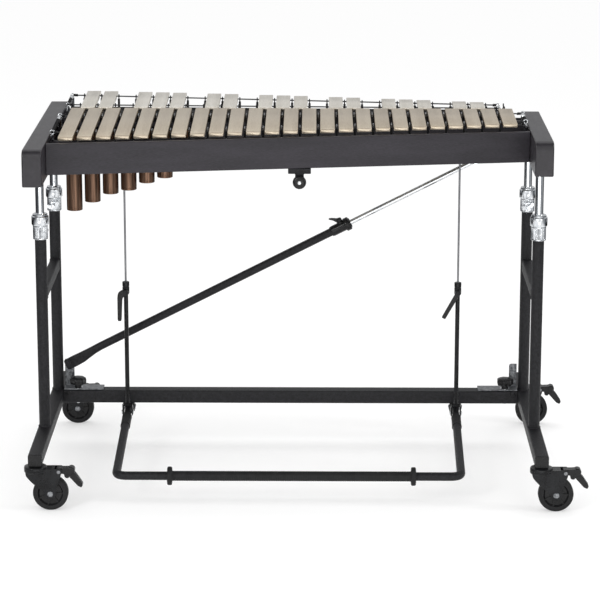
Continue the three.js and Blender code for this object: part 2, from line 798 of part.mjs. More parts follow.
function rearRail() {
  const slope = slopeOf(lines.accidentalRear);
  const across = supportThick / 2 + rearRailGap + railThick / 2;
  const middle = lines.accidentalRear(0) + across * Math.hypot(1, slope);
  return slantedBoard(middle, slope, railThick, railBottom, rearRailTop);
}

// Bars

const naturalX = (i) => firstNaturalX + barPitch * i;
const accidentalX = (slot) => naturalX(slot) + barPitch / 2;
const naturalFront = (x) => naturalFrontY + railSlopeShare * x;
const accidentalRear = (x) =>
  accidentalRearY + accidentalRearSlopeShare * x
  - accidentalRearBow * (x / accidentalBowHalf) ** 2;
const barTop = (y) => barTopZ + barRakeShare * (y - rakeFromY);
const cordZ = (y) => barTop(y) - barThick / 2;

// Nodal lines of the two rows, straight because the cords are
const naturalLength = (x) => naturalRear - naturalFront(x);
const accidentalLength = (x) =>
  accidentalRearY + accidentalRearSlopeShare * x - accidentalFront - accidentalLineInset;
const lines = {
  naturalFront: (x) => naturalFront(x) + nodeShare * naturalLength(x),
  naturalRear: (x) => naturalRear - nodeShare * naturalLength(x),
  accidentalFront: (x) => accidentalFront + nodeShare * accidentalLength(x),
  accidentalRear: (x) => accidentalFront + (1 - nodeShare) * accidentalLength(x),
};

function bar(x, front, rear) {
  const shape = [
    [front, barTop(front) - barThick], [rear, barTop(rear) - barThick],
    [rear, barTop(rear)], [front, barTop(front)],
  ];
  return alongX(shape, x - barWide / 2, x + barWide / 2);
}

function cord(line, x0, x1) {
  return strut([x0, line(x0), cordZ(line(x0))], [x1, line(x1), cordZ(line(x1))], cordR, cordFacets);
}

function naturalRow() {
  const row = Array.from({ length: naturalCount }, (_, i) => {
    const x = naturalX(i);
    return bar(x, naturalFront(x), naturalRear);
  });
  const x0 = naturalX(0) - barWide / 2 - cordOverrun / 2;
  const x1 = naturalX(naturalCount - 1) + barWide / 2 + cordOverrun / 2;
  return join([...row, cord(lines.naturalFront, x0, x1), cord(lines.naturalRear, x0, x1)]);
}

function accidentalRow() {
  const row = accidentalSlots.map((slot) => {
    const x = accidentalX(slot);
    return bar(x, accidentalFront, accidentalRear(x));
  });
  const x0 = accidentalX(0) - barPitch / 2 - cordOverrun;
  const x1 = accidentalX(accidentalSlots[accidentalSlots.length - 1]) + barPitch / 2 + cordOverrun;
  return join([...row, cord(lines.accidentalFront, x0, x1), cord(lines.accidentalRear, x0, x1)]);
}

// A notched post that holds the cord between two bars
function cordPost(line, x) {
  const y = line(x);
  const z = cordZ(y);
  const half = postDeep / 2;
  const notch = notchWide / 2;
  return alongX([
    [y - half, supportTop - weldDip], [y + half, supportTop - weldDip],
    [y + half, z + postRise], [y + notch, z + postRise], [y + notch, z - notch],
    [y - notch, z - notch], [y - notch, z + postRise], [y - half, z + postRise],
  ], x - postWide / 2, x + postWide / 2);
}

function supportRail(line, xs) {
  const board = slantedBoard(line(0), slopeOf(line), supportThick, supportBottom, supportTop);
  return join([board, ...xs.map((x) => cordPost(line, x))]);
}

const betweenNaturals = Array.from({ length: naturalCount - 1 }, (_, i) => naturalX(i) + barPitch / 2);
const betweenAccidentals = Array.from({ length: naturalCount }, (_, i) => naturalX(i));

// Damper: a rail with a felt strip below the inner ends of both rows

function damperShape(top, thick) {
  return [
    [damperFront, top(damperFront) - thick], [damperRear, top(damperRear) - thick],
    [damperRear, top(damperRear)], [damperFront, top(damperFront)],
  ];
}

const feltTop = (y) => barTop(y) - barThick - gap;
const damperTop = (y) => feltTop(y) - feltThick - gap;

function damperFelt() {
  return alongX(damperShape(feltTop, feltThick), damperLeft, damperRight);
}

function damperRail() {
  return alongX(damperShape(damperTop, damperRailThick), damperLeft, damperRight);
}

function thinRod(x) {
  const top = damperTop(rodPlaneY) - damperRailThick - gap;
  const ferruleTop = top - rodTopGap;
  const ferruleFoot = ferruleTop - ferruleLong;
  return turned([
    [0, thinRodBottom], [thinRodR, thinRodBottom], [thinRodR, ferruleFoot],
    [ferruleR, ferruleFoot], [ferruleR, ferruleTop], [0, ferruleTop],
  ], coarse).translate([x, rodPlaneY, 0]);
}

// Tube that takes the thin rod, with its clamp head and the fork that straddles the pedal arm
function rodTube(x) {
  const top = jointZ + forkRise;
  const foot = jointZ - forkBelowPin;
  const inner = pedalTubeR + forkSideGap;
  const outer = inner + forkThick;
  const neck = clampFootR;
  const tube = rod(rodTubeR, top - forkShoulder, rodTubeTop + weldDip, coarse);
  const clamp = turned([
    [0, rodTubeTop], [clampFootR, rodTubeTop], [rodClampR, rodTubeTop + clampTaper],
    [rodClampR, rodClampTop - clampTaper], [clampMouthR, rodClampTop], [0, rodClampTop],
  ], round);
  const fork = alongY([
    [-outer, foot], [-inner, foot], [-inner, top - forkCrown], [inner, top - forkCrown],
    [inner, foot], [outer, foot], [outer, top - forkShoulder], [neck, top], [-neck, top],
    [-outer, top - forkShoulder],
  ], -forkHalfDeep, forkHalfDeep);
  const pin = rodX(forkPinR, -outer - forkPinProud, outer + forkPinProud, 0, jointZ, coarse);
  const bore = rod(thinRodR + slideGap, thinRodBottom - rodBoreBelow, rodClampTop + gap, coarse);
  const screwHole = rodY(clampScrewR + pinGap, -rodClampR - gap, 0, 0, clampScrewZ, coarse);
  return join([tube, clamp, fork, pin]).subtract(bore).subtract(screwHole)
    .translate([x, rodPlaneY, 0]);
}

// Clamp screw of a pull rod, with its bent handle
function rodClampLever(x, lean) {
  const tip = thinRodR + slideGap;
  const shaft = rodY(clampScrewR, -rodClampR - clampScrewProud, -tip, 0, 0, coarse);
  const hub = rodY(clampHubR, -rodClampR - clampHubLong, -rodClampR - gap, 0, 0, round);
  const y0 = -rodClampR - handleStart;
  const shape = handleShares.map(([across, down]) => [across * handleHalf, -down * handleLong]);
  const handle = alongY(shape, y0, y0 + handleThick);
  return join([shaft, hub, handle.rotate([0, lean, 0])]).translate([x, rodPlaneY, clampScrewZ]);
}

// Pedal

function pedalFrame() {
  const corner = pedalArmX;
  const start = [pedalHingeXs.left, hingeY, hingeZ];
  const path = [
    start, [-corner, pedalFrontY, pedalFrontZ], [corner, pedalFrontY, pedalFrontZ],
    [pedalHingeXs.right, hingeY, hingeZ],
  ];
  let frame = bentTube(path, pedalTubeR, pedalBendR, pedalFacets);
  for (const x of Object.values(pedalHingeXs)) {
    frame = frame.add(rodX(eyeR, x - eyeHalf, x + eyeHalf, hingeY, hingeZ, round));
  }
  for (const x of Object.values(pedalHingeXs)) {
    const reach = eyeHalf + pedalTubeR;
    frame = frame.subtract(
      rodX(hingePinR + pinGap, x - reach, x + reach, hingeY, hingeZ, coarse));
    frame = frame.subtract(rodX(linkHoleR, x - reach, x + reach, rodPlaneY, jointZ, coarse));
  }
  return frame;
}

function pedalSleeve() {
  const inner = pedalTubeR + slideGap;
  const long = sleeveX.right - sleeveX.left;
  return turnedRing([
    [inner, 0], [ringR, 0], [ringR, ringThick], [sleeveR, ringThick],
    [sleeveR, long - ringThick], [ringR, long - ringThick], [ringR, long], [inner, long],
  ], round).rotate(toX).translate([sleeveX.left, pedalFrontY, pedalFrontZ]);
}

// U bracket and pin below the cross bar
function pedalHinge(x) {
  const inner = eyeHalf + eyeSideGap;
  const outer = inner + hingeThick;
  const top = crossBottom - gap;
  const foot = hingeZ - hingeBelowPin;
  const cheek = alongY([
    [x - outer, foot], [x - inner, foot], [x - inner, top - hingeThick],
    [x + inner, top - hingeThick], [x + inner, foot], [x + outer, foot], [x + outer, top],
    [x - outer, top],
  ], hingeY - hingeHalfDeep, hingeY + hingeHalfDeep);
  const reach = outer + hingePinProud;
  return cheek.add(rodX(hingePinR, x - reach, x + reach, hingeY, hingeZ, coarse));
}

// Resonators hang in a strip between the two rails that carry the naturals

function resonatorY(x) {
  return (lines.naturalFront(x) + lines.naturalRear(x)) / 2 + resonatorSetBack;
}

function resonatorBank() {
  const tubes = resonatorShares.map((share, i) => {
    const x = naturalX(i);
    const bottom = resonatorTop - share * resonatorLong;
    const inner = resonatorR - resonatorWall;
    return turned([
      [0, bottom], [resonatorR - resonatorEdge, bottom], [resonatorR, bottom + resonatorEdge],
      [resonatorR, resonatorTop], [inner, resonatorTop], [inner, bottom + resonatorCap],
      [0, bottom + resonatorCap],
    ], smooth).translate([x, resonatorY(x), 0]);
  });
  const last = naturalX(resonatorShares.length - 1);
  const z1 = resonatorStripZ + resonatorStripThick;
  const xs = { from: bedLeft, to: last + barPitch };
  const side = supportThick / 2 + gap * 2;
  let strip = upright([
    [xs.from, lines.naturalFront(xs.from) + side], [xs.to, lines.naturalFront(xs.to) + side],
    [xs.to, lines.naturalRear(xs.to) - side], [xs.from, lines.naturalRear(xs.from) - side],
  ], resonatorStripZ, z1);
  for (const [i, tube] of tubes.entries()) {
    const x = naturalX(i);
    const hole = rod(resonatorR - resonatorWall / 2, resonatorStripZ - gap, z1 + gap, smooth);
    strip = strip.subtract(hole.translate([x, resonatorY(x), 0])).add(tube);
  }
  return strip;
}

// Bracket and knob below the front rail

function frontKnobPlaneY() {
  return railFaceY + railSlopeShare * frontKnobX;
}

function frontKnobBracket() {
  const face = frontKnobPlaneY();
  const top = railBottom - gap;
  const neck = frontNeckHalf;
  const end = frontKnobZ - neck;
  const shape = [
    [-frontPlateHalf, frontPlateBottom], [-neck, frontPlateBottom], [-neck, end + frontNeckTaper],
    [-frontNeckEndHalf, end], [frontNeckEndHalf, end], [neck, end + frontNeckTaper],
    [neck, frontPlateBottom], [frontPlateHalf, frontPlateBottom], [frontPlateHalf, top],
    [-frontPlateHalf, top],
  ];
  const thick = railThick + frontPlateProud;
  const body = alongY(shape, 0, thick);
  const bore = rodY(frontShaftR + pinGap, -gap, thick + gap, 0, frontKnobZ, coarse);
  return body.subtract(bore).translate([frontKnobX, face, 0]);
}

function frontKnob() {
  const profile = frontKnobShares.map(([r, out]) => [r * frontKnobR, out * frontKnobHigh]);
  const head = turned([[0, 0], ...profile, [0, frontKnobHigh]], smooth);
  const back = -(railThick + frontPlateProud);
  const shaft = rod(frontShaftR, back - frontNutBehind, weldDip, coarse);
  const nut = rod(frontNutR, back - frontNutBehind, back - 2 * gap, hexagon);
  return join([head, shaft, nut]).rotate([90, 0, 0])
    .translate([frontKnobX, frontKnobPlaneY() - gap, frontKnobZ]);
}

// Diagonal brace, built along X from its lower pivot and then turned to its slope

const braceRun = braceTop.x - bracePivot.x;
const braceTilt = Math.atan((braceTop.z - bracePivot.z) / braceRun);
const braceTiltDegrees = braceTilt * 180 / Math.PI;
const braceLong = braceRun / Math.cos(braceTilt);
const braceClampAt = braceClampShare * braceLong;

function placeBrace(piece) {
  return piece.rotate([0, -braceTiltDegrees, 0]).translate([bracePivot.x, braceY, bracePivot.z]);
}

// Round tube flattened at one end: rings whose height and depth change along the tube
function flattenedTube(stations, segments) {
  const geometry = new THREE.CylinderGeometry(1, 1, stations.length - 1, segments, stations.length - 1);
  const place = geometry.attributes.position;
  const half = (stations.length - 1) / 2;
  for (let i = 0; i < place.count; i += 1) {
    const station = stations[Math.round(place.getY(i) + half)];
    place.setXYZ(i, station.at, -place.getX(i) * station.deep,
      place.getZ(i) * station.high + station.drop);
  }
  return solid(geometry);
}

function braceOuter() {
  const foot = braceFlatShares.map((share) => ({
    at: share.at * braceFlatLong, high: share.high * braceFlatHigh,
    deep: share.deep * braceFlatDeep, drop: -share.drop * braceFlatDrop,
  }));
  const tube = [braceFlatLong, braceClampAt].map((at) => ({
    at, high: braceOuterR, deep: braceOuterR, drop: 0,
  }));
  const body = flattenedTube([...foot, ...tube], round);
  const stop = (name) => braceHeadShares[name] * braceHeadLong;
  const wall = (name) => braceOuterR + braceHeadWalls[name];
  const head = turned([
    [0, stop("start")], [wall("neck"), stop("start")], [wall("body"), stop("body")],
    [wall("body"), stop("bodyEnd")], [wall("lip"), stop("lip")], [wall("lip"), stop("lipEnd")],
    [wall("mouth"), stop("end")], [0, stop("end")],
  ], round).rotate(toX).translate([braceClampAt, 0, 0]);
  const bore = rod(braceInnerR + slideGap, braceLong * braceBoreShare, braceLong, round).rotate(toX);
  const reach = braceOuterR + gap;
  const eye = rodY(braceBoltR + pinGap, -reach, reach, 0, 0, round);
  const screwHole = rod(braceScrewR + pinGap, 0, wall("lip") + gap, coarse)
    .translate([braceClampAt + braceScrewShift, 0, 0]);
  return placeBrace(body.add(head).subtract(bore).subtract(eye).subtract(screwHole));
}

function braceInner() {
  const half = tongueThick / 2;
  const tube = rod(braceInnerR, braceLong * braceInnerShare, braceLong - tongueLong, round)
    .rotate(toX);
  const upper = tongueShares.map(([along, across]) => [
    braceLong + along * tongueLong, across * tongueHalf,
  ]);
  const lower = upper.map(([along, across]) => [along, -across]).reverse();
  const tongue = alongY([...lower, ...upper], -half, half);
  const reach = half + gap;
  const eye = rodY(braceBoltR + braceEyeClear, -reach, reach, braceLong, 0, round);
  return placeBrace(tube.add(tongue).subtract(eye));
}

// Clamp lever on top of the brace's collar
function braceLever() {
  const from = braceInnerR + slideGap + gap;
  const top = braceOuterR + braceHeadWalls.lip;
  const shaft = rod(braceScrewR, from, top + weldDip, coarse);
  const hub = rod(braceHubR, top + gap, top + braceHubHigh, round);
  const shape = braceHandleShares.map(([along, up]) => [
    along * braceHandleLong, top + up * braceHandleHigh,
  ]);
  const handle = alongY(shape, -braceHandleWide / 2, braceHandleWide / 2);
  const lever = join([shaft, hub, handle]);
  return placeBrace(lever.translate([braceClampAt + braceScrewShift, 0, 0]));
}

// Hanger under the bed that holds the brace's upper bolt
function braceHanger() {
  const { x, z } = braceTop;
  const top = supportBottom - gap;
  const foot = z - hangerBelowBolt;
  const inner = hangerCheekY;
  const outer = inner + hangerThick;
  const cheek = alongX([
    [-outer, foot], [-inner, foot], [-inner, top - hangerThick], [inner, top - hangerThick],
    [inner, foot], [outer, foot], [outer, top], [-outer, top],
  ], -hangerHalf, hangerHalf);
  const reach = outer + hangerBoltProud;
  const bolt = rodY(braceBoltR, -reach, reach, 0, z, round);
  return join([cheek, bolt]).translate([x, braceY, 0]);
}

// Casters

function casterFork(x, y) {
  const half = wheelWide / 2 + forkGap;
  const outer = half + cheekThick;
  const back = forkInset - housingR;
  const waist = wheelR + forkWaistShare * (forkCrownBottom - wheelR);
  const lap = housingBottom + forkTopHigh;
  const boss = axleBossShares.map(([along, up]) => [
    trail + along * axleBossR, wheelR + up * axleBossR,
  ]);
  const block = alongY([
    [back, lap], [back, forkCrownBottom - crownHigh], [trail - forkWaistIn - axleBossR, waist],
    ...boss, [trail + forkWaistOut, waist], [brakePivotX + forkLobe, forkCrownBottom],
    [brakePivotX + forkLobe, lap],
  ], -outer, outer);
  const right = brakePivotX + brakeReach;
  const hollow = alongY([
    [back - gap, 0], [right, 0], [right, forkCrownBottom], [back - gap, forkCrownBottom],
  ], -half, half);
  const housing = turned([
    [0, housingBottom], [housingR - housingEdge, housingBottom],
    [housingR, housingBottom + housingEdge], [housingR, housingTop - housingTopEdge],
    [housingR - housingTopEdge, housingTop], [0, housingTop],
  ], smooth);
  const stem = rod(stemR, housingTop - weldDip, stemTop - gap, round);
  const reach = outer + axleProud;
  const axle = rodY(axleR, -reach, reach, trail, wheelR, round);
  const slotLeft = brakePivotX - brakeSlotFront;
  const slotFoot = forkCrownBottom - brakeSlotDeep;
  const slot = alongY([
    [slotLeft, slotFoot], [right, slotFoot], [right, lap + gap], [slotLeft, lap + gap],
  ], -half + slotRim, half - slotRim);
  const pivot = rodY(brakePinR, -outer, outer, brakePivotX, brakePivotZ, round);
  return join([block.subtract(hollow).subtract(slot), housing, stem, axle, pivot])
    .translate([x, y, 0]);
}

function casterWheel(x, y) {
  const half = wheelWide / 2;
  const profile = [
    [hubR, half], [hubR + hubRim, half - hubDish], [wheelR - treadDeep - hubRim, half - hubDish],
    [wheelR - treadDeep, half - treadSet], [wheelR - treadShoulder, half - treadSet],
    [wheelR, half - treadEdge],
  ];
  const lower = profile.map(([r, z]) => [r, -z]);
  const wheel = turned([[0, -half], ...lower, ...profile.reverse(), [0, half]], fine);
  const bore = rod(axleR + pinGap, -half - gap, half + gap, round);
  return wheel.subtract(bore).rotate(toY).translate([x + trail, y, wheelR]);
}

function brakePedal(x, y) {
  const lower = brakeLowerShares.map(([along, down]) => [
    brakePivotX + along * brakeReach, brakePivotZ - down * brakeDrop,
  ]);
  const upper = brakeUpperShares.map(([along, up]) => [
    brakePivotX + along * brakeReach, brakePivotZ + up * brakeLobe,
  ]);
  const bore = rodY(brakePinR + pinGap, -brakeHalf - gap, brakeHalf + gap,
    brakePivotX, brakePivotZ, round);
  return alongY([...lower, ...upper], -brakeHalf, brakeHalf).subtract(bore).translate([x, y, 0]);
}

// Assembly

const pieces = [];

function place(name, body, look) {
  const mesh = body.getMesh();
  const geometry = new THREE.BufferGeometry();
  geometry.setAttribute("position", new THREE.BufferAttribute(mesh.vertProperties, 3));
  geometry.setIndex(new THREE.BufferAttribute(mesh.triVerts, 1));
  geometry.computeVertexNormals();
  const node = new THREE.Mesh(geometry, new THREE.MeshStandardMaterial(look));
  node.name = name;
  pieces.push(node);
}

const sides = [
  { name: "left", side: -1, block: blockLeft },
  { name: "right", side: 1, block: blockRight },
];
const rows = [
  { name: "front", legY: frontLegY, towards: 1, casterY: casterFrontY },
  { name: "rear", legY: rearLegY, towards: -1, casterY: casterRearY },
];

for (const { name, side, block } of sides) {
  place(`${name}_leg_frame`, legFrame(side), steelBlack);
  place(`${name}_end_block`, endBlock(side, block), charcoal);
  place(`pedal_hinge_${name}`, pedalHinge(pedalHingeXs[name]), steelBlack);
  place(`crossbar_knob_${name}`, crossKnob(crossKnobXs[name]), blackPlastic);
  place(`pull_rod_${name}`, thinRod(rodXs[name]), chrome);
  place(`pull_tube_${name}`, rodTube(rodXs[name]), steelBlack);
  place(`pull_rod_lever_${name}`, rodClampLever(rodXs[name], clampLean[name]), blackPlastic);
  for (const row of rows) {
    const where = `${row.name}_${name}`;
    place(`leg_collar_${where}`, legCollar(side, row.legY, row.towards), chrome);
    place(`collar_screw_${where}`, collarScrew(side, row.legY, row.towards), chrome);
    place(`leg_tube_${where}`, legTube(side, row.legY), chrome);
    place(`caster_fork_${where}`, casterFork(side * legX, row.casterY), steelBlack);
    place(`caster_wheel_${where}`, casterWheel(side * legX, row.casterY), rubber);
    place(`caster_brake_${where}`, brakePedal(side * legX, row.casterY), blackPlastic);
  }
}
place("crossbar", crossBar(), steelBlack);
place("crossbar_bracket_left", braceBracket(), steelBlack);
place("crossbar_bracket_right",
  crossBracket(1, "right"), steelBlack);
place("front_rail", frontRail(), charcoal);
place("rear_rail", rearRail(), charcoal);
place("naturals_front_support", supportRail(lines.naturalFront, betweenNaturals), charcoal);
place("naturals_rear_support", supportRail(lines.naturalRear, betweenNaturals), charcoal);
place("accidentals_front_support", supportRail(lines.accidentalFront, betweenAccidentals), charcoal);
place("accidentals_rear_support", supportRail(lines.accidentalRear, betweenAccidentals), charcoal);
place("natural_bars", naturalRow(), barMetal);
place("accidental_bars", accidentalRow(), barMetal);
place("damper_rail", damperRail(), charcoal);
place("damper_felt", damperFelt(), feltGrey);
place("pedal_frame", pedalFrame(), steelBlack);
place("pedal_sleeve", pedalSleeve(), rubber);
place("resonator_bank", resonatorBank(), copperBrown);
place("front_knob_bracket", frontKnobBracket(), blackPlastic);
place("front_knob", frontKnob(), blackPlastic);
place("brace_outer_tube", braceOuter(), steelBlack);
place("brace_inner_tube", braceInner(), chrome);
place("brace_clamp_lever", braceLever(), blackPlastic);
place("brace_hanger", braceHanger(), steelBlack);

// The origin sits at the middle of the floor footprint
const object = new THREE.Group();
object.name = "concert_glockenspiel";
object.add(...pieces);
const box = new THREE.Box3().setFromObject(object);
const centre = box.getCenter(new THREE.Vector3());
for (const node of pieces) {
  node.geometry.translate(-centre.x, -centre.y, -box.min.z);
}

export default object;
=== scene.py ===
"""Looks of a concert glockenspiel on its wheeled damper stand.

Sizes are millimetres of the stand's plan: X = 0 midway between the leg frames, Y = 0 over the
front casters, Z = 0 on the floor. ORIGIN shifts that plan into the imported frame, and MM turns
it into metres.
"""

from __future__ import annotations

import logging
import math
from collections.abc import Callable, Iterable, Sequence
from dataclasses import dataclass, field
from enum import Enum

import bpy
import numpy as np
from mathutils import Matrix, Vector

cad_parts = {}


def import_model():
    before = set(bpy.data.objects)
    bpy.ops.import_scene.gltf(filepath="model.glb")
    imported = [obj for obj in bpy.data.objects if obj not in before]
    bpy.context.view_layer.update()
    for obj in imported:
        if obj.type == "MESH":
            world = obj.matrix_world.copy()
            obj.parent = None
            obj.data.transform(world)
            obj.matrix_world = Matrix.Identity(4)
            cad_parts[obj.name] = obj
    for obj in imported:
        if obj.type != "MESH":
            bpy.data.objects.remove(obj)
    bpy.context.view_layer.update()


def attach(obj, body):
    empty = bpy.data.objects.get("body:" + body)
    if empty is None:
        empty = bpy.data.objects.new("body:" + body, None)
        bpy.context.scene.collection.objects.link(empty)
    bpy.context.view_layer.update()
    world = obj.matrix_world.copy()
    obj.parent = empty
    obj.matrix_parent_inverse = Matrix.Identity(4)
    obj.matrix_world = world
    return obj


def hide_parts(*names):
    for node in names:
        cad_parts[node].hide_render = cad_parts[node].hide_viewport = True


Tree = bpy.types.NodeTree
Socket = bpy.types.NodeSocket
Pairs = Sequence[Sequence[float]]

LOG = logging.getLogger("glockenspiel")
MM = 0.001
ORIGIN = np.array([-39.15, -331.15, 0.0])
# Radius of a turned part's point on its axis, just above zero so that the cap keeps its ring.
POINT = 0.05


class Axis(Enum):
    """Direction that a profile is carried along or turned about."""

    X = 0
    Y = 1
    Z = 2


class Named(Enum):
    """A choice whose name is part of the CAD nodes' names."""

    @property
    def word(self) -> str:
        """Name as the CAD nodes write it."""
        return self.name.lower()


class Side(Named):
    """The two ends of the instrument, as seen from the front."""

    LEFT = -1
    RIGHT = 1


class Row(Named):
    """Front and rear legs and casters."""

    FRONT = 0
    REAR = 1


class Line(Named):
    """The four nodal lines, each with a support rail and a cord."""

    NATURALS_FRONT = 0
    NATURALS_REAR = 1
    ACCIDENTALS_FRONT = 2
    ACCIDENTALS_REAR = 3


# Shapes: closed skins worked out with numpy.


@dataclass
class Surface:
    """A closed skin in millimetres of the stand's plan.

    Attributes:
        points: vertices, one row each.
        quads: four-cornered faces as vertex numbers, pointing outwards.
        caps: flat end faces as lists of vertex numbers.
    """

    points: np.ndarray
    quads: np.ndarray
    caps: list[np.ndarray] = field(default_factory=list)

    def moved(self, dx: float = 0.0, dy: float = 0.0, dz: float = 0.0) -> Surface:
        """The same skin shifted by the three distances."""
        return Surface(self.points + np.array([dx, dy, dz]), self.quads, self.caps)

    def turned(self, axis: Axis, degrees: float) -> Surface:
        """The same skin turned about an axis through (0, 0, 0), by the right-hand rule."""
        turn = np.array(Matrix.Rotation(math.radians(degrees), 3, axis.name))
        return Surface(self.points @ turn.T, self.quads, self.caps)


def joined(surfaces: Iterable[Surface]) -> Surface:
    """Puts several skins into one, renumbering each one's faces by the points before it.

    Args:
        surfaces: the skins.

    Returns:
        One skin.
    """
    points, quads, caps, start = [], [], [], 0
    for skin in surfaces:
        points.append(skin.points)
        quads.append(skin.quads + start)
        caps.extend(cap + start for cap in skin.caps)
        start += len(skin.points)
    return Surface(np.concatenate(points), np.concatenate(quads), caps)


def grid_quads(rows: int, columns: int, wrap_rows: bool = False) -> np.ndarray:
    """Faces of a grid whose columns wrap round: each joins point (i, j) to (i+1, j+1).

    Args:
        rows: points along the first parameter.
        columns: points round the second one.
        wrap_rows: True where the last row meets the first.

    Returns:
        One row of four point numbers for each face.
    """
    last = rows if wrap_rows else rows - 1
    i, j = np.meshgrid(np.arange(last), np.arange(columns), indexing="ij")
    i2, j2 = (i + 1) % rows, (j + 1) % columns
    corners = [i * columns + j, i * columns + j2, i2 * columns + j2, i2 * columns + j]
    return np.stack(corners, axis=-1).reshape(-1, 4)


def capped(points: np.ndarray) -> Surface:
    """Skin of a tube from rings of points: rows are rings, and the two end rings are closed.

    Args:
        points: array of rings by points by three.

    Returns:
        The skin.
    """
    rows, columns = points.shape[:2]
    start = np.arange(columns)[::-1]
    end = np.arange(columns) + (rows - 1) * columns
    return Surface(points.reshape(-1, 3), grid_quads(rows, columns), [start, end])


# Points that a coil spring's wire takes for one turn.
COIL_STEPS = 14
# Where X, Y and Z of a shape made along Z come from, for each axis that it may be laid along.
AXIS_ORDER = {Axis.X: [2, 0, 1], Axis.Y: [1, 2, 0], Axis.Z: [0, 1, 2]}


def laid(points: np.ndarray, axis: Axis) -> np.ndarray:
    """Turns points made along Z so that they run along the axis, by swapping coordinates."""
    return points[..., AXIS_ORDER[axis]]


def revolve(profile: Pairs, axis: Axis = Axis.Z, segments: int = 48,
            ring: bool = False) -> Surface:
    """A turned part: each profile point (r, h) becomes the circle (r cos a, r sin a, h).

    Args:
        profile: radius and height pairs, going up the outside.
        axis: axis that the part is turned about.
        segments: points round the circle.
        ring: True where the profile closes on itself and leaves a hole.

    Returns:
        The closed skin.
    """
    r, h = np.asarray(profile, float).T
    a = np.linspace(0, 2 * math.pi, segments, endpoint=False)
    points = np.stack([np.outer(r, np.cos(a)), np.outer(r, np.sin(a)),
                       np.repeat(h[:, None], segments, axis=1)], axis=-1)
    points = laid(points, axis)
    if ring:
        return Surface(points.reshape(-1, 3), grid_quads(len(r), segments, wrap_rows=True))
    return capped(points)


def fluted(heights: Sequence[float], base: Sequence[float], ripple: Sequence[float], count: int,
           segments: int = 196, bore: float = 0.0) -> Surface:
    """A turned part whose rings ripple: the radius is base + ripple cos(count a).

    Args:
        heights: height of each ring, rising.
        base: mean radius of each ring.
        ripple: depth of each ring's ripple.
        count: waves round the circle.
        segments: points round the circle.
        bore: radius of a hole right through, or zero.

    Returns:
        The closed skin.
    """
    a = np.linspace(0, 2 * math.pi, segments, endpoint=False)
    h = np.asarray(heights, float)
    r = np.asarray(base, float)[:, None] + np.outer(ripple, np.cos(count * a))
    if bore:
        r = np.concatenate([r, np.full((2, segments), bore)])
        h = np.append(h, [h[-1], h[0]])
    points = np.stack([r * np.cos(a), r * np.sin(a), np.repeat(h[:, None], segments, 1)], -1)
    if bore:
        return Surface(points.reshape(-1, 3), grid_quads(len(h), segments, wrap_rows=True))
    return capped(points)


def rod(radius: float, start: float, end: float, axis: Axis = Axis.Z, edge: float = 0.4,
        segments: int = 32) -> Surface:
    """A round bar with its two edges broken by a small chamfer."""
    return revolve([(radius - edge, start), (radius, start + edge), (radius, end - edge),
                    (radius - edge, end)], axis, segments)


def prism(outline: Pairs, axis: Axis, start: float, end: float) -> Surface:
    """An outline carried straight along an axis.

    Args:
        outline: corner pairs, counter-clockwise in (Y, Z) for X, (Z, X) for Y, (X, Y) for Z.
        axis: direction of the run.
        start: where it begins.
        end: where it ends.

    Returns:
        The closed skin.
    """
    flat = np.asarray(outline, float)
    if np.sum(flat[:, 0] * np.roll(flat[:, 1], -1) - np.roll(flat[:, 0], -1) * flat[:, 1]) < 0:
        flat = flat[::-1]
    rings = np.stack([np.column_stack([flat, np.full(len(flat), h)]) for h in (start, end)])
    return capped(laid(rings, axis))


def xz_plate(outline: Pairs, start: float, end: float) -> Surface:
    """A plate whose outline is given in X and Z, standing across Y from start to end."""
    return prism([(z, x) for x, z in outline], Axis.Y, start, end)


def rounded(points: Pairs, radius: float | Sequence[float], steps: int = 5) -> np.ndarray:
    """Rounds an outline's corners: each becomes the quadratic curve between two cut points.

    Args:
        points: corner pairs.
        radius: length cut off at each corner, one for all or one each.
        steps: points per corner.

    Returns:
        The rounded outline.
    """
    p = np.asarray(points, float)
    cut = np.broadcast_to(np.asarray(radius, float), (len(p),))[:, None]
    before, after = np.roll(p, 1, axis=0) - p, np.roll(p, -1, axis=0) - p
    lb, la = np.linalg.norm(before, axis=1)[:, None], np.linalg.norm(after, axis=1)[:, None]
    a = p + before / lb * np.minimum(cut, lb * 0.49)
    b = p + after / la * np.minimum(cut, la * 0.49)
    t = np.linspace(0, 1, steps)[None, :, None]
    curve = (1 - t) ** 2 * a[:, None] + 2 * t * (1 - t) * p[:, None] + t ** 2 * b[:, None]
    return curve.reshape(-1, 2)


def sweep(path: np.ndarray, radius: float | np.ndarray, segments: int = 24,
          up: Sequence[float] = (0, 0, 1)) -> Surface:
    """A round section carried along a path.

    At each path point with direction t, the ring is point + r (cos a * side + sin a * top),
    where side = t x up and top = side x t.

    Args:
        path: points of the centre line.
        radius: radius at each point, or one for all.
        segments: points round the section.
        up: a direction that the path never runs along.

    Returns:
        The closed skin.
    """
    t = np.gradient(path, axis=0)
    t /= np.linalg.norm(t, axis=1)[:, None]
    side = np.cross(t, np.asarray(up, float))
    side /= np.linalg.norm(side, axis=1)[:, None]
    top = np.cross(side, t)
    a = np.linspace(0, 2 * math.pi, segments, endpoint=False)[None, :, None]
    r = np.broadcast_to(radius, (len(path),))[:, None, None]
    rings = path[:, None] + r * (np.cos(a) * side[:, None] + np.sin(a) * top[:, None])
    return capped(rings[:, ::-1])


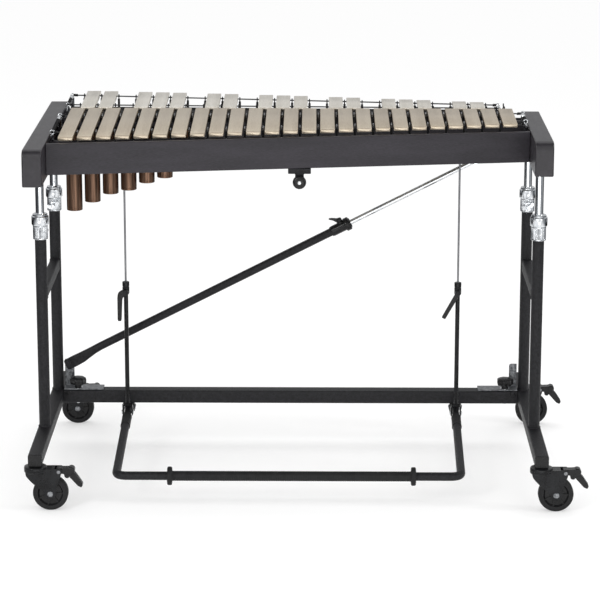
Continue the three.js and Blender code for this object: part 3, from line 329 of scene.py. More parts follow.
def bent_path(corners: Pairs, bend: float, steps: int = 10) -> np.ndarray:
    """Straight runs joined by quadratic bends that start and end at bend from each corner.

    Args:
        corners: the ends, and the corners between them.
        bend: length of each run that a bend takes up.
        steps: points per bend.

    Returns:
        Points of the path.
    """
    p = np.asarray(corners, float)
    t = np.linspace(0, 1, steps)[:, None]
    parts = [p[:1]]
    for before, corner, after in zip(p[:-2], p[1:-1], p[2:]):
        a = corner + (before - corner) / np.linalg.norm(before - corner) * bend
        b = corner + (after - corner) / np.linalg.norm(after - corner) * bend
        parts.append((1 - t) ** 2 * a + 2 * t * (1 - t) * corner + t ** 2 * b)
    parts.append(p[-1:])
    return np.concatenate(parts)


def helix(start: Sequence[float], end: Sequence[float], coil: float, wire: float,
          turns: int) -> Surface:
    """A coil spring: the wire's centre runs round the line from start to end, turns times.

    Args:
        start: one end of the coil's axis.
        end: its other end.
        coil: radius of the coil.
        wire: radius of the wire.
        turns: how often it goes round.

    Returns:
        The skin.
    """
    a, b = np.asarray(start, float), np.asarray(end, float)
    along = (b - a) / np.linalg.norm(b - a)
    side = np.cross(along, [0.0, 0.0, 1.0])
    side /= np.linalg.norm(side)
    top = np.cross(side, along)
    s = np.linspace(0, 1, turns * COIL_STEPS + 1)[:, None]
    w = 2 * math.pi * turns * s
    path = a + (b - a) * s + coil * (np.cos(w) * side + np.sin(w) * top)
    return sweep(path, wire, 6, up=along)


# Finishes: one material for each real surface.


def linear(hex_colour: str) -> tuple[float, float, float, float]:
    """Turns an sRGB hex colour into linear light.

    Args:
        hex_colour: six hex digits.

    Returns:
        Red, green, blue and alpha.
    """
    parts = [int(hex_colour[i:i + 2], 16) / 255 for i in (0, 2, 4)]
    parts = [c / 12.92 if c <= 0.04045 else ((c + 0.055) / 1.055) ** 2.4 for c in parts]
    return parts[0], parts[1], parts[2], 1.0


def add_node(tree: Tree, kind: str, settings: dict | None = None,
             inputs: dict | None = None) -> bpy.types.Node:
    """Adds a node with its settings, values and links.

    Args:
        tree: the material's node tree.
        kind: Blender's name of the node type.
        settings: properties of the node.
        inputs: socket name or number to a value or to the output socket that feeds it.

    Returns:
        The new node.
    """
    node = tree.nodes.new(kind)
    for key, value in (settings or {}).items():
        setattr(node, key, value)
    for key, value in (inputs or {}).items():
        if isinstance(value, Socket):
            tree.links.new(value, node.inputs[key])
        else:
            node.inputs[key].default_value = value
    return node


def ramp(tree: Tree, source: Socket, stops: Sequence[tuple[float, str]]) -> Socket:
    """Maps a value to colours given as hex at places from 0 to 1.

    Args:
        tree: the node tree.
        source: the value.
        stops: place and colour of each stop, rising.

    Returns:
        The colour.
    """
    node = add_node(tree, "ShaderNodeValToRGB", inputs={0: source})
    elements = node.color_ramp.elements
    for index, (place, colour) in enumerate(stops):
        element = elements[index] if index < 2 else elements.new(place)
        element.position = place
        element.color = linear(colour)
    return node.outputs["Color"]


def scaled_coordinates(tree: Tree, stretch: Sequence[float]) -> Socket:
    """Object coordinates multiplied along each axis by stretch.

    Args:
        tree: the node tree.
        stretch: the three factors.

    Returns:
        The vector.
    """
    where = add_node(tree, "ShaderNodeTexCoord").outputs["Object"]
    node = add_node(tree, "ShaderNodeMapping", inputs={"Vector": where, "Scale": stretch})
    return node.outputs["Vector"]


# Noise stays between about these two values, so a full range of roughness is spread over them.
NOISE_SPAN = (0.25, 0.75)
# Mixed noise below the first is the darkest colour and above the second the lightest.
MOTTLE_SPAN = (0.35, 0.65)


def remapped(tree: Tree, source: Socket, low: float, high: float) -> Socket:
    """Spreads noise over the range from low to high.

    Args:
        tree: the node tree.
        source: the noise.
        low: value at the noise's low end.
        high: value at its high end.

    Returns:
        The value.
    """
    node = add_node(tree, "ShaderNodeMapRange", inputs={
        "Value": source, "From Min": NOISE_SPAN[0], "From Max": NOISE_SPAN[1],
        "To Min": low, "To Max": high})
    return node.outputs["Result"]


@dataclass(frozen=True)
class Finish:
    """A finish worked out from noise on Object coordinates.

    Attributes:
        name: the real material and how it was made.
        slot: the record's material slot; not used.
        dark: darkest colour in the mottling.
        light: lightest colour in the mottling.
        metallic: 1 for bare metal.
        roughness: least and most roughness over the surface.
        grain_mm: size of the bumps.
        grain_deep: strength of the bumps.
        stretch: how far the grain is drawn out along X, Y and Z; 1 is not at all.
        cloud_mm: size of the mottling.
        ior: refractive index of what isn't metal.
    """

    name: str
    slot: str
    dark: str
    light: str
    metallic: float = 0.0
    roughness: tuple[float, float] = (0.4, 0.5)
    grain_mm: float = 1.0
    grain_deep: float = 0.1
    stretch: tuple[float, float, float] = (1.0, 1.0, 1.0)
    cloud_mm: float = 60.0
    ior: float = 1.5

    def material(self) -> bpy.types.Material:
        """Builds the material once and returns it from then on.

        Returns:
            The material.
        """
        known = bpy.data.materials.get(self.name)
        if known is not None:
            return known
        made = bpy.data.materials.new(self.name)
        made.use_nodes = True
        tree = made.node_tree
        shader = tree.nodes["Principled BSDF"]
        fine = [1.0 / (self.grain_mm * MM) / s for s in self.stretch]
        broad = [1.0 / (self.cloud_mm * MM) / s for s in self.stretch]
        grain = add_node(tree, "ShaderNodeTexNoise", inputs={
            "Vector": scaled_coordinates(tree, fine), "Scale": 1.0, "Detail": 2.0})
        cloud = add_node(tree, "ShaderNodeTexNoise", inputs={
            "Vector": scaled_coordinates(tree, broad), "Scale": 1.0, "Detail": 3.0})
        half_grain = add_node(tree, "ShaderNodeMath", {"operation": "MULTIPLY"}, {
            0: grain.outputs["Fac"], 1: 0.5})
        mottle = add_node(tree, "ShaderNodeMath", {"operation": "MULTIPLY_ADD"}, {
            0: cloud.outputs["Fac"], 1: 0.5, 2: half_grain.outputs[0]})
        colour = ramp(tree, mottle.outputs[0], [
            (MOTTLE_SPAN[0], self.dark), (MOTTLE_SPAN[1], self.light)])
        tree.links.new(colour, shader.inputs["Base Color"])
        rough = remapped(tree, mottle.outputs[0], *self.roughness)
        tree.links.new(rough, shader.inputs["Roughness"])
        bump = add_node(tree, "ShaderNodeBump", inputs={
            "Strength": self.grain_deep, "Distance": self.grain_mm * MM * 0.5,
            "Height": grain.outputs["Fac"]})
        tree.links.new(bump.outputs["Normal"], shader.inputs["Normal"])
        shader.inputs["Metallic"].default_value = self.metallic
        if self.metallic < 0.5:
            shader.inputs["IOR"].default_value = self.ior
        return made


# The record's material slots.
STEEL, CHROME_SLOT, PLASTIC, RUBBER = (
    "black textured steel", "chrome", "black plastic", "rubber")
WOOD, BAR_METAL, BROWN, FELT_SLOT = "charcoal wood", "bar metal", "brown aluminium", "felt"

# Wrinkle powder coat baked on steel tube: dull black with a sandy sparkle. The real grit is
# 0.3 mm, drawn at 2.4 mm so that it shows at this size.
POWDER_COAT = Finish("wrinkle_powder_coat_on_steel", STEEL, "0d0d0f", "242427",
                     roughness=(0.36, 0.56), grain_mm=2.4, grain_deep=0.9, cloud_mm=6,
                     ior=1.33)
# Bright chrome on steel: hard mirror, with the faintest haze.
CHROME = Finish("chrome_plated_steel", CHROME_SLOT, "d8dbde", "eef0f1", metallic=1.0,
                roughness=(0.05, 0.12), grain_mm=9, grain_deep=0.015, cloud_mm=30)
# Chromed zinc die casting of the collars and wing screws: softer and whiter than the tubes.
CAST_CHROME = Finish("chrome_plated_zinc_casting", CHROME_SLOT, "cbcfd3", "eaecee",
                     metallic=1.0, roughness=(0.12, 0.22), grain_mm=6, grain_deep=0.015,
                     cloud_mm=9)
# Glass-filled nylon of knobs, levers, plugs and brake pedals: moulded, with a waxy sheen.
NYLON = Finish("moulded_black_nylon", PLASTIC, "0b0b0c", "1b1b1c", roughness=(0.2, 0.34),
               grain_mm=2.0, grain_deep=0.12, cloud_mm=18, ior=1.38)
# Clear zinc on the angle brackets and axle bolts: grey and cloudy, with small dull spots.
ZINC = Finish("zinc_plated_steel", STEEL, "55575a", "9b9da0", metallic=0.9,
              roughness=(0.3, 0.5), grain_mm=4.5, grain_deep=0.15, cloud_mm=9)
# Black zinc on pressed forks, pull tubes and hinge brackets: dark, with a soft grey gleam.
BLACK_ZINC = Finish("black_zinc_pressed_steel", STEEL, "101011", "252628", metallic=0.6,
                    roughness=(0.22, 0.36), grain_mm=2.5, grain_deep=0.1, cloud_mm=22)
# Moulded rubber of treads, pedal sleeve and arm grips: matt grey-black, as if finely dusted.
TREAD = Finish("moulded_rubber", RUBBER, "121213", "222223", roughness=(0.5, 0.7),
               grain_mm=1.2, grain_deep=0.3, cloud_mm=15, ior=1.33)
# Moulded polypropylene of the wheel centres: smooth, a little glossier than the tread.
HUB = Finish("moulded_polypropylene", RUBBER, "0f0f10", "1e1e1f", roughness=(0.28, 0.42),
             grain_mm=2.0, grain_deep=0.1, cloud_mm=20, ior=1.38)
# Charcoal lacquer on the boards of the bed: even satin, with the grain just raised along X.
LACQUER = Finish("charcoal_satin_lacquer_on_beech", WOOD, "211f23", "322f35",
                 roughness=(0.42, 0.52), grain_mm=1.2, grain_deep=0.12,
                 stretch=(25, 1, 1), cloud_mm=26, ior=1.4)
# The same lacquer on the end blocks, whose grain runs along Y.
BLOCK_LACQUER = Finish("charcoal_satin_lacquer_on_end_blocks", WOOD, "1b191d", "2d2a2f",
                       roughness=(0.3, 0.44), grain_mm=1.3, grain_deep=0.35,
                       stretch=(1, 4, 1), cloud_mm=14)
# Nickel-plated steel bars, satin brushed along their length: warm champagne glint.
BAR_PLATE = Finish("satin_nickel_plated_steel", BAR_METAL, "c3b49e", "ddd1bd", metallic=1.0,
                   roughness=(0.28, 0.4), grain_mm=0.9, grain_deep=0.08,
                   stretch=(1, 40, 1), cloud_mm=26)
# The same plating on the rear row, painted lighter and more silvery: a painted highlight for the
# sheen it catches, not a different plating.
SHEEN_PAINTED_PLATE = Finish("bright_nickel_plated_steel", BAR_METAL, "e4ded1", "fdf8ee", metallic=1.0,
                      roughness=(0.26, 0.36), grain_mm=0.9, grain_deep=0.06,
                      stretch=(1, 40, 1), cloud_mm=26)
# Brown anodised aluminium of the resonators, drawn along Z: fine copper streaks.
ANODISED = Finish("brown_anodised_aluminium", BROWN, "30231d", "8f6f5a", metallic=0.85,
                  roughness=(0.24, 0.38), grain_mm=1.6, grain_deep=0.12,
                  stretch=(1, 1, 60), cloud_mm=4)
# Black oxide on posts, hooks, springs and bolts: nearly black, grey where light grazes it.
BLACK_OXIDE = Finish("black_oxide_steel", STEEL, "121213", "27272a", metallic=0.5,
                     roughness=(0.3, 0.5), grain_mm=1.5, grain_deep=0.1)
# Bare ground steel of front posts, thin pull rods and brake pins: grey with a fine bright line.
GROUND_STEEL = Finish("ground_steel", CHROME_SLOT, "6f7073", "9a9b9e", metallic=0.9,
                      roughness=(0.25, 0.4), grain_mm=1.5, grain_deep=0.1)
# Braided nylon cord: black with a slight sheen. The braid is drawn at 0.8 mm.
CORD = Finish("braided_nylon_cord", FELT_SLOT, "1a1a1b", "3a3a3c", roughness=(0.5, 0.7),
              grain_mm=0.8, grain_deep=0.4, cloud_mm=3)
# Pressed wool felt of the damper and the rear row's strip: matt black with a soft nap.
FELT = Finish("pressed_wool_felt", FELT_SLOT, "161617", "2b2b2c", roughness=(0.85, 0.95),
              grain_mm=1.4, grain_deep=0.5, cloud_mm=12)


# Pieces: a skin, a finish and the body it moves with.


def piece(name: str, skin: Surface, finish: Finish, body: str, replaces: Sequence[str] = (),
          bevel: float = 0.0, sharp: float = 32.0) -> bpy.types.Object:
    """Makes one visible piece.

    Args:
        name: name of the piece.
        skin: its closed skin, in millimetres of the stand's plan.
        finish: what it is made of.
        body: the body that it moves with.
        replaces: CAD nodes that it stands for.
        bevel: width in millimetres of the rounding put on its hard edges.
        sharp: edges that turn by more than this many degrees are drawn hard.

    Returns:
        The new object.
    """
    mesh = bpy.data.meshes.new(name)
    points = (skin.points + ORIGIN) * MM
    faces = skin.quads.tolist() + [cap.tolist() for cap in skin.caps]
    mesh.from_pydata(points.tolist(), [], faces)
    mesh.polygons.foreach_set("use_smooth", np.ones(len(mesh.polygons), bool))
    mesh.set_sharp_from_angle(angle=math.radians(sharp))
    made = bpy.data.objects.new(name, mesh)
    bpy.context.scene.collection.objects.link(made)
    made.data.materials.append(finish.material())
    if bevel:
        rounding = made.modifiers.new("rounded_edges", "BEVEL")
        rounding.width = bevel * MM
        rounding.segments = 2
        rounding.limit_method = "ANGLE"
        rounding.angle_limit = math.radians(sharp)
    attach(made, body)
    if replaces:
        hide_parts(*replaces)
    LOG.info("made %s on %s", name, body)
    return made


# The stand: leg frames, clamps and cross bar.

# X of the right-hand legs, with the left-hand ones mirrored, and Y of legs and casters.
LEG_X = 545.4
LEG_Y = {Row.FRONT: 207.8, Row.REAR: 512.0}
CASTER_Y = {Row.FRONT: 0.0, Row.REAR: 651.0}


def rounded_rectangle(half0: float, half1: float, corner: float, steps: int = 5) -> np.ndarray:
    """A rectangle about (0, 0) with its corners rounded."""
    corners = [(half0, half1), (-half0, half1), (-half0, -half1), (half0, -half1)]
    return rounded(corners, corner, steps)


@dataclass
class LegFrame:
    """One end frame: foot, two uprights, stretcher, end plugs and weld beads.

    Attributes:
        side: which end.
        foot: bottom, top and width of the foot's section.
        foot_ends: Y of the foot's two ends.
        upright_radius: outside of an upright.
        upright_top: height of an upright.
        bore: radius of the hole that the leg tube slides in, and the height of its floor.
        stretcher: bottom and top of the stretcher.
        stretcher_half: half of the stretcher's width.
    """

    side: Side
    foot: tuple[float, float, float] = (98.0, 125.0, 30.0)
    foot_ends: tuple[float, float] = (-9.2, 660.2)
    upright_radius: float = 12.7
    upright_top: float = 597.0
    bore: tuple[float, float] = (9.9, 362.0)
    stretcher: tuple[float, float] = (414.0, 440.0)
    stretcher_half: float = 11.0

    @property
    def x(self) -> float:
        """X of the frame's plane."""
        return self.side.value * LEG_X

    def box_tube(self, section: np.ndarray, z: float, start: float, end: float) -> Surface:
        """A section carried along Y in the frame's plane, with its middle at height z."""
        return prism(section + np.array([z, self.x]), Axis.Y, start, end)

    def foot_run(self, start: float, end: float, inset: float = 0.0) -> Surface:
        """A stretch of the foot's section from start to end.

        Args:
            start: Y where it begins.
            end: Y where it ends.
            inset: how much smaller the section is made all round.

        Returns:
            The skin.
        """
        low, high, wide = self.foot
        section = rounded_rectangle((high - low) / 2 - inset, wide / 2 - inset, 4.0)
        return self.box_tube(section, (low + high) / 2, start, end)

    def upright(self, y: float) -> Surface:
        """Upright whose bore is open at the top and ends at its floor.

        Args:
            y: Y of the upright.

        Returns:
            The skin.
        """
        r, top = self.upright_radius, self.upright_top
        hole, floor = self.bore
        return revolve([(r, self.foot[1] - 2), (r, top - 1), (hole, top), (hole, floor),
                        (POINT, floor)], segments=48).moved(self.x, y)

    def tube(self) -> Surface:
        """Foot, uprights, stretcher and weld beads as one painted weldment.

        Returns:
            The skin.
        """
        parts = [self.foot_run(*self.foot_ends)]
        for y in LEG_Y.values():
            parts += [self.upright(y), self.bead(y)]
        low, high = self.stretcher
        section = rounded_rectangle((high - low) / 2, self.stretcher_half, 3.5)
        parts.append(self.box_tube(section, (low + high) / 2, LEG_Y[Row.FRONT] + 8,
                                   LEG_Y[Row.REAR] - 8))
        for row, out in ((Row.FRONT, 1), (Row.REAR, -1)):
            parts.append(self.stretcher_bead(LEG_Y[row] + out * (self.upright_radius + 0.6)))
        return joined(parts)

    def bead(self, y: float) -> Surface:
        """Weld bead round the foot of an upright.

        It is a quarter round whose width ripples round the tube as 2.6 + 0.35 sin(22 a).

        Args:
            y: Y of the upright.

        Returns:
            The skin.
        """
        a = np.linspace(0, 2 * math.pi, 96, endpoint=False)
        t = np.linspace(0, math.pi / 2, 5)
        swell = 2.6 + 0.35 * np.sin(22 * a)
        r = self.upright_radius - 0.6 + swell[None, :] * np.cos(t)[:, None]
        h = self.foot[1] - 0.4 + 3.4 * np.sin(t)[:, None] * np.ones_like(a)
        return capped(np.stack([self.x + r * np.cos(a), y + r * np.sin(a), h], axis=-1))

    def stretcher_bead(self, y: float) -> Surface:
        """Bead where the stretcher meets an upright: a thin cord round its section.

        Args:
            y: Y of the bead.

        Returns:
            The skin.
        """
        outline = rounded_rectangle(self.stretcher_half + 0.4, 13.4, 3.5, 6)
        middle = sum(self.stretcher) / 2
        ring = np.column_stack([outline[:, 0] + self.x, np.full(len(outline), y),
                                outline[:, 1] + middle])
        return sweep(np.concatenate([ring, ring[:1]]), 1.3, 8, up=(0, 1, 0))

    def build(self) -> None:
        """Makes the frame and its two end plugs."""
        word = self.side.word
        front, rear = self.foot_ends
        piece(f"{word}_leg_weldment", self.tube(), POWDER_COAT, "base",
              [f"{word}_leg_frame"], sharp=40)
        piece(f"{word}_foot_plug_front", self.foot_run(front - 2.3, front - 0.2, 0.1), NYLON,
              "base", bevel=0.8)
        piece(f"{word}_foot_plug_rear", self.foot_run(rear + 0.2, rear + 2.2, 0.1), NYLON,
              "base", bevel=0.8)


@dataclass
class LegClamp:
    """Chrome collar, wing screw and telescoping tube at the top of one upright.

    Attributes:
        side: which end.
        row: front or rear leg.
        bore: radius of the hole that the tube runs through.
        tube_radius: outside of the chrome tube.
    """

    side: Side
    row: Row
    bore: float = 9.9
    tube_radius: float = 9.4

    @property
    def place(self) -> tuple[float, float]:
        """X and Y of the leg."""
        return self.side.value * LEG_X, LEG_Y[self.row]

    def sleeve(self) -> Surface:
        """Lower sleeve with 28 fine flutes between its two rims.

        Returns:
            The skin.
        """
        heights = (552.6, 553.4, 555.6, 556.4, 580.4, 581.2, 583.4, 584.4)
        base = (15.8, 16.6, 16.6, 16.0, 16.0, 16.6, 16.6, 15.8)
        return fluted(heights, base, (0, 0, 0, 0.45, 0.45, 0, 0, 0), 28, 224, self.bore)

    def head(self) -> Surface:
        """Upper ring: a softened hexagon, necked in at the top.

        Returns:
            The skin.
        """
        heights = (583.9, 584.6, 586.2, 603.0, 604.4, 605.2, 608.4, 609.5)
        base = (17.2, 18.0, 18.5, 18.5, 17.6, 16.6, 16.3, 15.3)
        return fluted(heights, base, (0.2, 0.35, 0.55, 0.55, 0.35, 0, 0, 0), 6, 96, self.bore)

    def lug(self) -> Surface:
        """Split clamp lug that the wing screw draws together, on the screw's side.

        Returns:
            The skin.
        """
        out = 1 if self.row is Row.FRONT else -1
        outline = rounded([(-6.5, 557), (6.5, 557), (6.5, 575), (-6.5, 575)], 2.5)
        start, end = sorted((out * 14.0, out * 19.2))
        return xz_plate(outline, start, end)

    def wing_screw(self) -> Surface:
        """Cast wing screw: hub, shaft and two wings that rise from it like ears.

        Returns:
            The skin.
        """
        hub = revolve([(3.0, 19.3), (6.2, 19.6), (6.4, 21), (5.2, 28), (4.4, 28.6)],
                      Axis.Y, 28)
        wing = rounded([(3, -4.4), (9, -3.6), (14.2, 1), (15, 6.4), (11.4, 8), (7, 4.6), (3, 4.2)],
                       [0.5, 2, 3, 3, 3, 2, 0.5], 4)
        right = xz_plate(wing, 22.0, 25.6)
        left = xz_plate(wing * np.array([-1.0, 1.0]), 22.0, 25.6)
        screw = joined([hub, right, left]).turned(Axis.Y, 18).moved(0, 0, 566)
        return screw if self.row is Row.FRONT else screw.turned(Axis.Z, 180)

    def build(self) -> None:
        """Makes the collar, its screw and the tube."""
        x, y = self.place
        word = f"{self.row.word}_{self.side.word}"
        collar = joined([self.sleeve(), self.head(), self.lug()]).moved(x, y)
        piece(f"{word}_clamp_collar", collar, CAST_CHROME, "base", [f"leg_collar_{word}"],
              sharp=28)
        piece(f"{word}_wing_screw", self.wing_screw().moved(x, y), CAST_CHROME,
              f"collar_screw_{word}", [f"collar_screw_{word}"], bevel=0.6)
        tube = rod(self.tube_radius, 410.0, 723.6, edge=1.0, segments=48)
        piece(f"{word}_chrome_leg_tube", tube.moved(x, y), CHROME, "bed", [f"leg_tube_{word}"])


# X of each angle bracket's inner edge and the top of its standing plate, and X of each knob.
BRACKET_EDGE = {Side.LEFT: (-508.0, 193.0), Side.RIGHT: (512.0, 184.0)}
BAR_KNOB_X = {Side.LEFT: -498.0, Side.RIGHT: 501.5}


@dataclass
class CrossBar:
    """Lower cross bar with its two brackets and clamp knobs.

    Attributes:
        half_long: half of the bar's length.
        centre: Y and Z of the bar's middle line.
        half_section: half of its depth and half of its height.
        bracket_end: distance of a bracket's outer edge from X = 0.
        bracket_long: length of a bracket's lying plate.
        knob_y: Y of the clamp knobs.
    """

    half_long: float = 530.1
    centre: tuple[float, float] = (503.0, 112.0)
    half_section: tuple[float, float] = (18.0, 15.0)
    bracket_end: float = 529.9
    bracket_long: float = 92.0
    knob_y: float = 499.5

    def bar(self) -> Surface:
        """Rectangular tube between the feet."""
        section = rounded_rectangle(*self.half_section, 3.6)
        return prism(section + np.array(self.centre), Axis.X, -self.half_long, self.half_long)

    def bracket(self, side: Side) -> Surface:
        """Angle bracket: a plate on top of the bar and one standing behind it.

        Args:
            side: which end.

        Returns:
            The skin.
        """
        inner, top = BRACKET_EDGE[side]
        outer, rear = side.value * self.bracket_end, 525.3
        outline = rounded([(outer, 97), (inner, 97), (inner, top), (outer, top)], [1, 1, 6, 1])
        standing = xz_plate(outline, 521.3, rear)
        x0, x1 = sorted((outer, side.value * (self.bracket_end - self.bracket_long)))
        lying = prism([(x0, 489), (x1, 489), (x1, rear), (x0, rear)], Axis.Z, 127.3, 130.3)
        return joined([standing, lying])

    def knob(self, x: float) -> tuple[Surface, Surface]:
        """Seven-lobed hand knob, and its stud with a washer.

        Args:
            x: X of the knob.

        Returns:
            Skins of the knob and of its stud.
        """
        grip = fluted((130.7, 131.5, 138, 139, 140.2, 144, 150, 153.4, 155.4, 156.6, 157.2),
                      (7.6, 8.4, 8.0, 11.5, 17.4, 18.6, 18.6, 17.8, 14.5, 8.0, POINT),
                      (0, 0, 0, 0.3, 0.86, 0.95, 0.95, 0.76, 0.3, 0, 0), 7, 140)
        washer = revolve([(10.2, 130.4), (10.6, 130.7), (10.6, 131.3), (10.2, 131.6)])
        stud = joined([rod(4.0, 93.4, 96.9), washer])
        return grip.moved(x, self.knob_y), stud.moved(x, self.knob_y)

    def end_bolt(self, side: Side) -> Surface:
        """Bolt with a domed head that holds the bar's end to its bracket.

        Args:
            side: which end.

        Returns:
            The skin.
        """
        dome = revolve([(POINT, 481.6), (5.2, 482.2), (6.4, 483.4), (6.4, 484.7)], Axis.Y, 28)
        shank = rod(3.0, 484.5, 490.0, Axis.Y)
        return joined([dome, shank]).moved(side.value * 519.5, 0, 121.5)

    def build(self) -> None:
        """Makes the bar, brackets, knobs and their bolts."""
        piece("cross_bar_tube", self.bar(), POWDER_COAT, "base", ["crossbar"], sharp=40)
        for side, x in BAR_KNOB_X.items():
            piece(f"{side.word}_angle_bracket", self.bracket(side), ZINC, "base",
                  [f"crossbar_bracket_{side.word}"], bevel=0.8)
            grip, stud = self.knob(x)
            body = f"crossbar_knob_{side.word}"
            piece(f"{side.word}_bar_knob", grip, NYLON, body, [body], sharp=50)
            piece(f"{side.word}_bar_knob_stud", stud, CHROME, body)
            piece(f"{side.word}_bar_end_bolt", self.end_bolt(side), BLACK_OXIDE, "base")


# The bed: blocks, rails, bars, cords and their posts.


@dataclass
class EndBlock:
    """Lacquered end block with a softly rounded top.

    Attributes:
        side: which end.
        low: lowest corner.
        high: highest corner.
    """

    side: Side
    low: tuple[float, float, float]
    high: tuple[float, float, float]

    def body(self) -> Surface:
        """Side outline in Y and Z carried along X.

        Returns:
            The skin.
        """
        x0, y0, z0 = self.low
        x1, y1, z1 = self.high
        outline = rounded([(y0, z0), (y1, z0), (y1, z1), (y0, z1)], [4, 4, 11, 19], 9)
        return prism(outline, Axis.X, x0, x1)

    def build(self) -> None:
        """Makes the block."""
        made = piece(f"{self.side.word}_lacquered_block", self.body(), BLOCK_LACQUER, "bed",
                     [f"{self.side.word}_end_block"], bevel=3.6, sharp=50)
        made.modifiers["rounded_edges"].segments = 4


@dataclass
class BarPlan:
    """Where the bars, their nodal lines and their cords lie.

    Along X the naturals' front ends follow natural_front + skew X, and their rear ends stay at
    natural_rear. The accidentals' front ends stay at accidental_front; their rear ends follow
    accidental_rear - taper X - curve X X, and their nodal lines the straight part of that.

    Attributes:
        first: X of the lowest natural.
        pitch: distance between naturals.
        wide: width of a bar.
        thick: thickness of a bar.
        slots: natural gaps that have an accidental behind them.
        height: height of the bars' tops at Y = front.
        front: Y of the lowest natural's front end.
        rake: rise of the tops towards the back.
        natural_front: Y of the naturals' front ends at X = 0.
        natural_rear: Y of the naturals' rear ends.
        skew: change of the naturals' front ends along X.
        accidental_front: Y of the accidentals' front ends.
        accidental_rear: Y of the accidentals' rear ends at X = 0.
        accidental_long: length of an accidental at X = 0 that the nodal lines go by.
        taper: loss of an accidental's length along X.
        curve: further loss with the square of X.
        nodal_share: share of a bar's length between its end and its nodal line.
    """

    first: float = -482.5
    pitch: float = 40.4
    wide: float = 31.75
    thick: float = 8.5
    slots: tuple[int, ...] = (0, 1, 3, 4, 5, 7, 8, 10, 11, 12, 14, 15, 17, 18, 19, 21, 22)
    height: float = 786.8
    front: float = 163.5
    rake: float = 0.0323
    natural_front: float = 236.0
    natural_rear: float = 480.0
    skew: float = 0.1534
    accidental_front: float = 488.0
    accidental_rear: float = 624.5
    accidental_long: float = 131.5
    taper: float = 0.1411
    curve: float = 5.9e-5
    nodal_share: float = 0.224

    def top(self, y: np.ndarray | float) -> np.ndarray | float:
        """Height of the bars' top face: a plane that rises by the rake towards the back."""
        return self.height + self.rake * (y - self.front)

    def underside(self, y: np.ndarray | float, gap: float) -> np.ndarray | float:
        """Height that lies a gap below the bars' undersides."""
        return self.top(y) - self.thick - gap

    def cord_z(self, y: np.ndarray | float) -> np.ndarray | float:
        """Height of a cord's centre, halfway through a bar."""
        return self.top(y) - self.thick / 2

    def natural(self, i: int) -> tuple[float, float, float]:
        """X, front and rear of a natural."""
        x = self.first + self.pitch * i
        return x, self.natural_front + self.skew * x, self.natural_rear

    def accidental(self, slot: int) -> tuple[float, float, float]:
        """X, front and rear of the accidental behind the gap after a natural.

        Args:
            slot: number of the gap, from the left.

        Returns:
            The three numbers.
        """
        x = self.first + self.pitch * (slot + 0.5)
        rear = self.accidental_rear - self.taper * x - self.curve * x * x
        return x, self.accidental_front, rear

    def line(self, line: Line) -> Callable[[np.ndarray | float], np.ndarray | float]:
        """Y of a nodal line as a function of X: a fixed share of a bar's length from its end.

        Args:
            line: which nodal line.

        Returns:
            The function.
        """
        share = self.nodal_share
        natural_long = self.natural_rear - self.natural_front
        return {
            Line.NATURALS_FRONT: lambda x: (self.natural_front + self.skew * x
                                            + share * (natural_long - self.skew * x)),
            Line.NATURALS_REAR: lambda x: (self.natural_rear
                                           - share * (natural_long - self.skew * x)),
            Line.ACCIDENTALS_FRONT: lambda x: (self.accidental_front
                                               + share * (self.accidental_long - self.taper * x)),
            Line.ACCIDENTALS_REAR: lambda x: (self.accidental_front + (1 - share)
                                              * (self.accidental_long - self.taper * x)),
        }[line]


PLAN = BarPlan()
# X of the end blocks' inner faces, between which every board of the bed runs.
BED_ENDS = (-522.7, 530.2)


def bed_board(front_y: Callable[[float], float], half: float, low: float,
              high: float) -> Surface:
    """An upright board between the end blocks, whose middle follows a straight line.

    Its half thickness is measured square to the line, so along Y it is half hypot(1, slope).

    Args:
        front_y: Y of the middle as a function of X.
        half: half of the thickness.
        low: bottom edge.
        high: top edge.

    Returns:
        The skin.
    """
    x0, x1 = BED_ENDS
    y0, y1 = front_y(x0), front_y(x1)
    reach = half * math.hypot(1, (y1 - y0) / (x1 - x0))
    return prism([(x0, y0 - reach), (x1, y1 - reach), (x1, y1 + reach), (x0, y0 + reach)],
                 Axis.Z, low, high)


